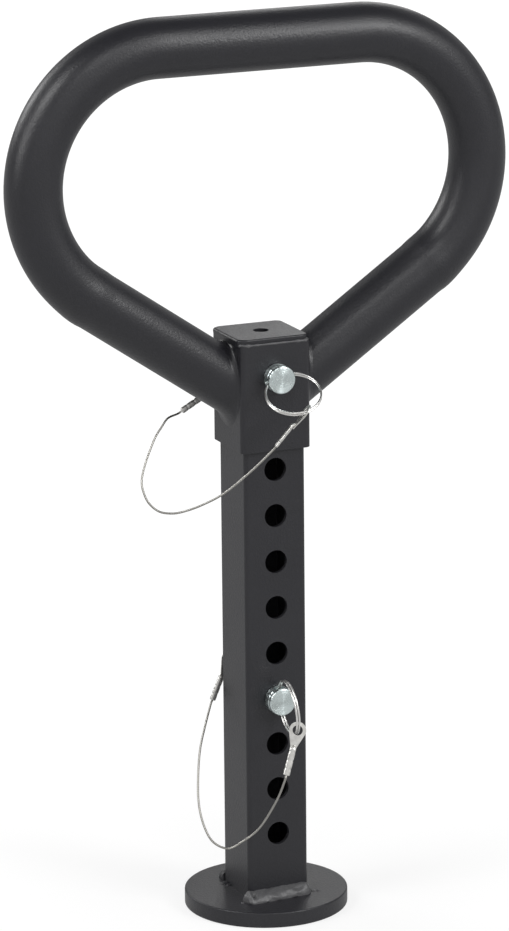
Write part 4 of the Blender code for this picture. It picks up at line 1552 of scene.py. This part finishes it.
@dataclass
class PullPin:
    """A turned pull pin with a cross hole for its ring and a spring-backed ball near its tip."""

    shop: Workshop
    rig: Lanyard
    shank: float = 11.1 * MM
    length: float = COLLAR_SIDE + SEAT_GAP + 8.0 * MM
    tip_chamfer: float = 1.6 * MM
    head_edge: float = 1.0 * MM
    groove_from_face: float = 2.6 * MM
    groove_depth: float = 0.35 * MM
    groove_width: float = 0.7 * MM
    ring_hole: float = 5.4 * MM
    ball: float = 4.0 * MM
    ball_proud: float = 0.55 * MM
    ball_from_tip: float = 5.2 * MM
    ball_clearance: float = 0.25 * MM
    spring_length: float = 4.6 * MM

    def seat(self) -> Matrix:
        """The matrix from the pin's own frame: its axis along local Z, the seat at local zero."""
        turn = Matrix.Rotation(math.radians(90), 4, "X")
        return Matrix.Translation((0, -self.rig.face, self.rig.pin_z)) @ turn

    def profile(self) -> list[tuple[float, float]]:
        """The pin's turned profile, from the middle of its face to the middle of its tip.

        Returns:
            The radius and height of each point.
        """
        head = self.rig.head_diameter / 2
        shank = self.shank / 2
        under = SEAT_GAP * 0.4
        face = SEAT_GAP + self.rig.head_length
        groove = face - self.groove_from_face
        tip = -self.length
        profile = [(0.0, face), (head, face), (head, groove),
                   (head - self.groove_depth, groove - self.groove_width / 2),
                   (head, groove - self.groove_width), (head, under), (shank, under),
                   (shank, tip + self.tip_chamfer), (shank - self.tip_chamfer, tip), (0.0, tip)]
        # from the last corner to the first, so that the places of the others still hold
        for index, size in ((8, 0.4 * MM), (7, 0.5 * MM), (5, self.head_edge), (4, 0.3 * MM), (3, 0.2 * MM),
                            (2, 0.3 * MM), (1, self.head_edge)):
            round_corner(profile, index, size, 5)
        return profile

    def build_pin(self, ball_y: float, ball_z: float) -> None:
        """The turned pin with its cross hole and the pocket for its ball.

        Args:
            ball_y: the ball's place across the pin.
            ball_z: its place along the pin.
        """
        rig = self.rig
        finish = self.shop.finishes.pin(rig.name + "_pin_zinc", rig.pin_z)
        mesh = lathe(rig.name + "_pull_pin", self.profile(), 96, finish)
        way = Vector((math.cos(rig.spin), math.sin(rig.spin), 0))
        reach = 20.0 * MM
        middle = Vector((0, 0, SEAT_GAP + rig.head_length / 2))
        cross = cylinder(rig.name + "_cross", self.ring_hole, middle - way * reach, middle + way * reach)
        bottom = ball_y + self.ball / 2 + self.spring_length + 2 * SEAT_GAP
        pocket = cylinder(rig.name + "_pocket", self.ball + 2 * self.ball_clearance,
                          Vector((0, -self.shank / 2 - 1.0 * MM, ball_z)), Vector((0, bottom, ball_z)), 40)
        mesh = carve(mesh, [cross, pocket], bevel=0.25 * MM, angle=48.0)
        mesh.transform(self.seat())
        place_piece(rig.name + "_pull_pin", mesh, rig.pin_body, (rig.name + "_pin",), 40.0)

    def build_ball(self, ball_y: float, ball_z: float) -> None:
        """The polished locking ball.

        Args:
            ball_y: its place across the pin.
            ball_z: its place along the pin.
        """
        name = self.rig.name
        radius = self.ball / 2
        chords = 24
        arc = [(radius * math.sin(math.pi * k / chords), radius * math.cos(math.pi * k / chords))
               for k in range(chords + 1)]
        arc[0] = (0.0, radius)
        arc[-1] = (0.0, -radius)
        ball = lathe(name + "_lock_ball", arc, 40, self.shop.finishes.ball())
        ball.transform(self.seat() @ Matrix.Translation((0, ball_y, ball_z)))
        place_piece(name + "_lock_ball", ball, Body(name + "_ball"), (name + "_ball",), 60.0)

    def build(self) -> None:
        """Build the pin and its ball."""
        ball_y = -(self.shank / 2 + self.ball_proud - self.ball / 2)
        ball_z = self.ball_from_tip - self.length
        self.build_pin(ball_y, ball_z)
        self.build_ball(ball_y, ball_z)


@dataclass
class LanyardScrew:
    """A pan head screw with a cross recess, through a far eyelet into the back wall."""

    shop: Workshop
    rig: Lanyard
    wall: float
    head: float = 7.4 * MM
    height: float = 1.9 * MM
    shank: float = 3.0 * MM
    recess: float = 1.2 * MM
    recess_length: float = 4.2 * MM
    recess_width: float = 0.9 * MM

    def build(self) -> None:
        """Build the screw with its domed head and cross recess."""
        name = self.rig.name
        eyelet = self.rig.eyelet()
        seat_y = eyelet.y + TAB_THICKNESS / 2
        depth = seat_y - self.rig.face + self.wall
        half = self.head / 2
        chords = 8
        dome = [(0.0, self.height)]
        for step in range(1, chords):
            angle = math.pi / 2 * step / chords
            dome.append((half * math.sin(angle), self.height * math.cos(angle) ** 0.7))
        dome.append((half, 0.0))
        profile = dome + [(self.shank / 2, 0.0), (self.shank / 2, -depth), (0.0, -depth)]
        mesh = lathe(name + "_screw", profile, 48, self.shop.finishes.hardware())
        long, wide, deep = self.recess_length, self.recess_width, 2 * self.recess
        cutters = [block("recess", size, self.height) for size in ((long, wide, deep), (wide, long, deep))]
        mesh = carve(mesh, cutters, bevel=0.12 * MM, angle=45.0)
        turn = Matrix.Rotation(math.radians(-90), 4, "X")
        mesh.transform(Matrix.Translation((eyelet.x, seat_y, eyelet.z)) @ turn)
        place_piece(name + "_screw", mesh, self.rig.carrier, (name + "_lanyard_screw",), 40.0)


# studio

def away_from(bearing: float, height: float) -> Vector:
    """The direction from the object to a place.

    Args:
        bearing: the place's bearing from the front, in radians.
        height: its angle above the floor, in radians.

    Returns:
        The direction, one unit long.
    """
    level = math.cos(height)
    return Vector((math.sin(bearing) * level, -math.cos(bearing) * level, math.sin(height)))


@dataclass(frozen=True)
class Lamp:
    """A soft box: its bearing from the front and its height in degrees, its size and its power."""

    name: str
    bearing: float
    height: float
    size: tuple[float, float]
    power: float
    distance: float = 2.4


@dataclass
class Studio:
    """The camera, the pale floor and the soft lights."""

    yaw: float = math.radians(-23.206)
    pitch: float = math.radians(14.471)
    roll: float = math.radians(-0.555)
    lens: float = 180.92
    distance: float = 2.495209
    aim: tuple[float, float, float] = (-4.033 * MM, -4.342 * MM, 250.0 * MM)
    middle: float = 250.0 * MM
    floor_radius: float = 14.0
    floor_drop: float = 0.2 * MM
    floor_seen: float = 1.08
    floor_mirrored: float = 0.54
    shadow_near: float = 0.08
    shadow_far: float = 0.45
    shadow_kept: float = 0.72
    glow_behind_low: float = 0.25
    glow_behind_high: float = 0.41
    glow_front: float = 0.79
    glow_right: float = 0.22
    glow_above: float = 0.06
    lamps: tuple[Lamp, ...] = (
        Lamp("left_high", -80.0, 45.0, (0.7, 0.7), 17.5),
        Lamp("left_low", -90.0, 20.0, (0.7, 0.7), 10.8),
        Lamp("front_high", -12.0, 48.0, (0.7, 0.7), 6.6),
        Lamp("right_high", 33.0, 48.0, (0.7, 0.7), 7.4),
        Lamp("right_low", 34.0, 30.0, (0.7, 0.7), 17.6),
        Lamp("right_side", 66.0, 30.0, (0.8, 0.7), 2.2),
        Lamp("behind_right", 150.0, 25.0, (0.7, 0.7), 3.0),
        Lamp("behind_left", -150.0, 25.0, (0.9, 0.9), 12.0))

    def build_camera(self) -> None:
        """The camera at the photograph's viewing angle."""
        away = away_from(self.yaw, self.pitch)
        level = Vector((math.cos(self.yaw), math.sin(self.yaw), 0))
        upright = level.cross(-away)
        right = level * math.cos(self.roll) + upright * math.sin(self.roll)
        up = upright * math.cos(self.roll) - level * math.sin(self.roll)
        target = right * self.aim[0] + up * self.aim[1] + Vector((0, 0, self.aim[2]))
        data = bpy.data.cameras.new("camera")
        data.sensor_width = 36.0
        data.lens = self.lens
        data.clip_end = 60.0
        camera = add_object("camera", data)
        basis = Matrix((right, up, away)).transposed().to_4x4()
        camera.matrix_world = Matrix.Translation(target + away * self.distance) @ basis
        bpy.context.scene.camera = camera

    def build_floor(self) -> None:
        """The pale floor, which keeps a soft shadow near the object and turns white further out."""
        material = bpy.data.materials.new("pale_floor")
        material.use_nodes = True
        sheet = NodeSheet(material.node_tree)
        shader = material.node_tree.nodes["Principled BSDF"]
        shader.inputs["Base Color"].default_value = (0.86, 0.86, 0.86, 1.0)
        shader.inputs["Roughness"].default_value = 0.7
        rays = sheet.add("ShaderNodeLightPath").outputs
        level = sheet.add("ShaderNodeMapRange", rays["Is Camera Ray"], 0.0, 1.0, self.floor_mirrored,
                          self.floor_seen)
        glow = sheet.add("ShaderNodeEmission", WHITE, level.outputs[0])
        place = sheet.add("ShaderNodeTexCoord").outputs["Object"]
        reach = sheet.vector("LENGTH", place).outputs["Value"]
        fade = sheet.add("ShaderNodeMapRange", reach, self.shadow_near, self.shadow_far, self.shadow_kept,
                         1.0)
        seen = sheet.math("MAXIMUM", rays["Is Camera Ray"], sheet.math(
            "MAXIMUM", rays["Is Glossy Ray"], rays["Is Transmission Ray"]))
        share = sheet.math("MULTIPLY", fade.outputs[0], seen)
        mixed = sheet.add("ShaderNodeMixShader", share)
        sheet.link(shader.outputs[0], mixed.inputs[1])
        sheet.link(glow.outputs[0], mixed.inputs[2])
        sheet.link(mixed.outputs[0], material.node_tree.nodes["Material Output"].inputs["Surface"])
        bm = bmesh.new()
        bmesh.ops.create_circle(bm, cap_ends=True, segments=64, radius=self.floor_radius)
        mesh = bpy.data.meshes.new("floor")
        bm.to_mesh(mesh)
        bm.free()
        mesh.materials.append(material)
        floor = add_object("floor", mesh)
        floor.location = (0, 0, -self.floor_drop)

    def build_world(self) -> None:
        """A surround that is white where it is seen, and lights the object mostly from the front."""
        world = bpy.data.worlds.new("surround")
        world.use_nodes = True
        sheet = NodeSheet(world.node_tree)
        back = world.node_tree.nodes["Background"]
        back.inputs["Color"].default_value = WHITE
        place = sheet.add("ShaderNodeTexCoord").outputs["Generated"]
        way = sheet.add("ShaderNodeSeparateXYZ", place).outputs

        def band(axis: str, start: float, end: float, first: float, last: float) -> bpy.types.NodeSocket:
            """Add a level that changes from first to last between two places on an axis of the surround."""
            return sheet.add("ShaderNodeMapRange", way[axis], start, end, first, last).outputs[0]

        level = band("Z", 0.3, 0.45, self.glow_behind_low, self.glow_behind_high)
        behind = sheet.math("MULTIPLY", sheet.math("MULTIPLY", band("Y", 0.0, 0.6, 0.0, 1.0), level),
                            band("Z", 0.65, 0.8, 1.0, 0.0))
        sides = sheet.math("ADD", band("Y", -0.2, -0.8, 0.0, self.glow_front),
                           band("X", 0.2, 0.8, 0.0, self.glow_right))
        around = sheet.math("MULTIPLY", sides, band("Z", 0.4, 0.75, 1.0, 0.0))
        glow = sheet.math("ADD", sheet.math("ADD", behind, around),
                          band("Z", 0.6, 0.95, 0.0, self.glow_above))
        seen = sheet.add("ShaderNodeLightPath").outputs["Is Camera Ray"]
        sheet.link(sheet.math("MAXIMUM", glow, seen), back.inputs["Strength"])
        bpy.context.scene.world = world

    def build_lamp(self, lamp: Lamp) -> None:
        """Hang a soft rectangular lamp that looks at the object's middle.

        Args:
            lamp: its bearing, height, size and power.
        """
        data = bpy.data.lights.new(lamp.name, "AREA")
        data.shape = "RECTANGLE"
        data.size, data.size_y = lamp.size
        data.energy = lamp.power
        obj = add_object(lamp.name, data)
        away = away_from(math.radians(lamp.bearing), math.radians(lamp.height))
        turn = (-away).to_track_quat("-Z", "Y").to_matrix().to_4x4()
        obj.matrix_world = Matrix.Translation(Vector((0, 0, self.middle)) + away * lamp.distance) @ turn

    def build(self) -> None:
        """Set up the lamps, the floor and the surround."""
        bpy.context.scene.view_settings.view_transform = "Standard"
        self.build_floor()
        self.build_world()
        for lamp in self.lamps:
            self.build_lamp(lamp)


def upper_lanyard(shop: Workshop) -> Lanyard:
    """The rig of the upper pin, on the handle. Its route is in mm.

    Args:
        shop: the workshop.

    Returns:
        The rig.
    """
    return Lanyard(
        shop, "upper", Body.UPPER_PIN, Body.HANDLE, COLLAR_SIDE / 2, UPPER_PIN_Z,
        spin=math.radians(13.0), hang=(0.115, -0.863, -0.49), shift=1.5 * MM, link=math.radians(-2.0),
        near_way=(-0.491, 0.359, -0.794), near_face=(-0.786, 0.211, 0.582), eyelet_x=-15.4 * MM,
        eyelet_below_pin=11.9 * MM, far_way=(-0.877, 0.0, -0.480),
        route=((-20.3, -33.7, 252.9), (-32.8, -25.7, 240.1), (-43.3, -18.9, 233.0), (-51.9, -13.3, 229.0),
               (-57.6, -9.8, 228.0), (-62.8, -6.5, 229.1), (-66.9, -2.9, 233.4), (-68.4, 0.7, 239.3),
               (-67.9, 3.4, 244.1), (-65.4, 6.4, 249.4), (-61.0, 10.2, 256.3), (-55.5, 14.1, 263.8),
               (-51.2, 16.3, 268.1), (-46.5, 18.3, 272.3)))


def lower_lanyard(shop: Workshop) -> Lanyard:
    """The rig of the lower pin, on the post. Its route is in mm.

    Args:
        shop: the workshop.

    Returns:
        The rig.
    """
    return Lanyard(
        shop, "lower", Body.LOWER_PIN, Body.POST, POST_SIDE / 2, LOWER_PIN_Z,
        spin=math.radians(96.0), hang=(-0.07, -0.995, -0.06), shift=0.0, link=math.radians(320.0),
        near_way=(-0.33, -0.122, -0.936), near_face=(-0.399, -0.881, 0.255), eyelet_x=-12.6 * MM,
        eyelet_below_pin=-14.2 * MM, far_way=(-0.397, 0.0, -0.918),
        route=((-12.7, -44.6, 72.5), (-19.4, -36.9, 55.9), (-27.0, -30.6, 47.2), (-33.2, -25.9, 42.9),
               (-39.7, -20.8, 46.0), (-42.4, -15.0, 53.6), (-42.4, -8.2, 63.4), (-39.6, -0.6, 74.9),
               (-34.8, 7.7, 88.7), (-29.3, 13.4, 99.9)))


def dress_inner_springs(frame: dict, shop: Workshop) -> None:
    """Give the solids that stay, the springs behind the balls, their finish.

    Args:
        frame: the loaded frame.
        shop: the workshop.
    """
    for name in ("upper_ball_spring", "lower_ball_spring"):
        node = frame["nodes"][name]
        node.data.materials.clear()
        node.data.materials.append(shop.finishes.ball())


def main() -> None:
    """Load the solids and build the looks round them."""
    logging.basicConfig(level=logging.INFO, format="%(message)s")
    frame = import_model()
    studio = Studio()
    studio.build_camera()
    shop = Workshop()
    rigs = (upper_lanyard(shop), lower_lanyard(shop))
    terminal = Terminal(shop)
    for rig in rigs:
        rig.build(terminal)
    Base(shop).build()
    Handle(shop).build()
    for rig, wall in zip(rigs, (COLLAR_WALL, POST_WALL)):
        PullPin(shop, rig).build()
        LanyardScrew(shop, rig, wall).build()
    dress_inner_springs(frame, shop)
    studio.build()


if __name__ == "__main__":
    main()
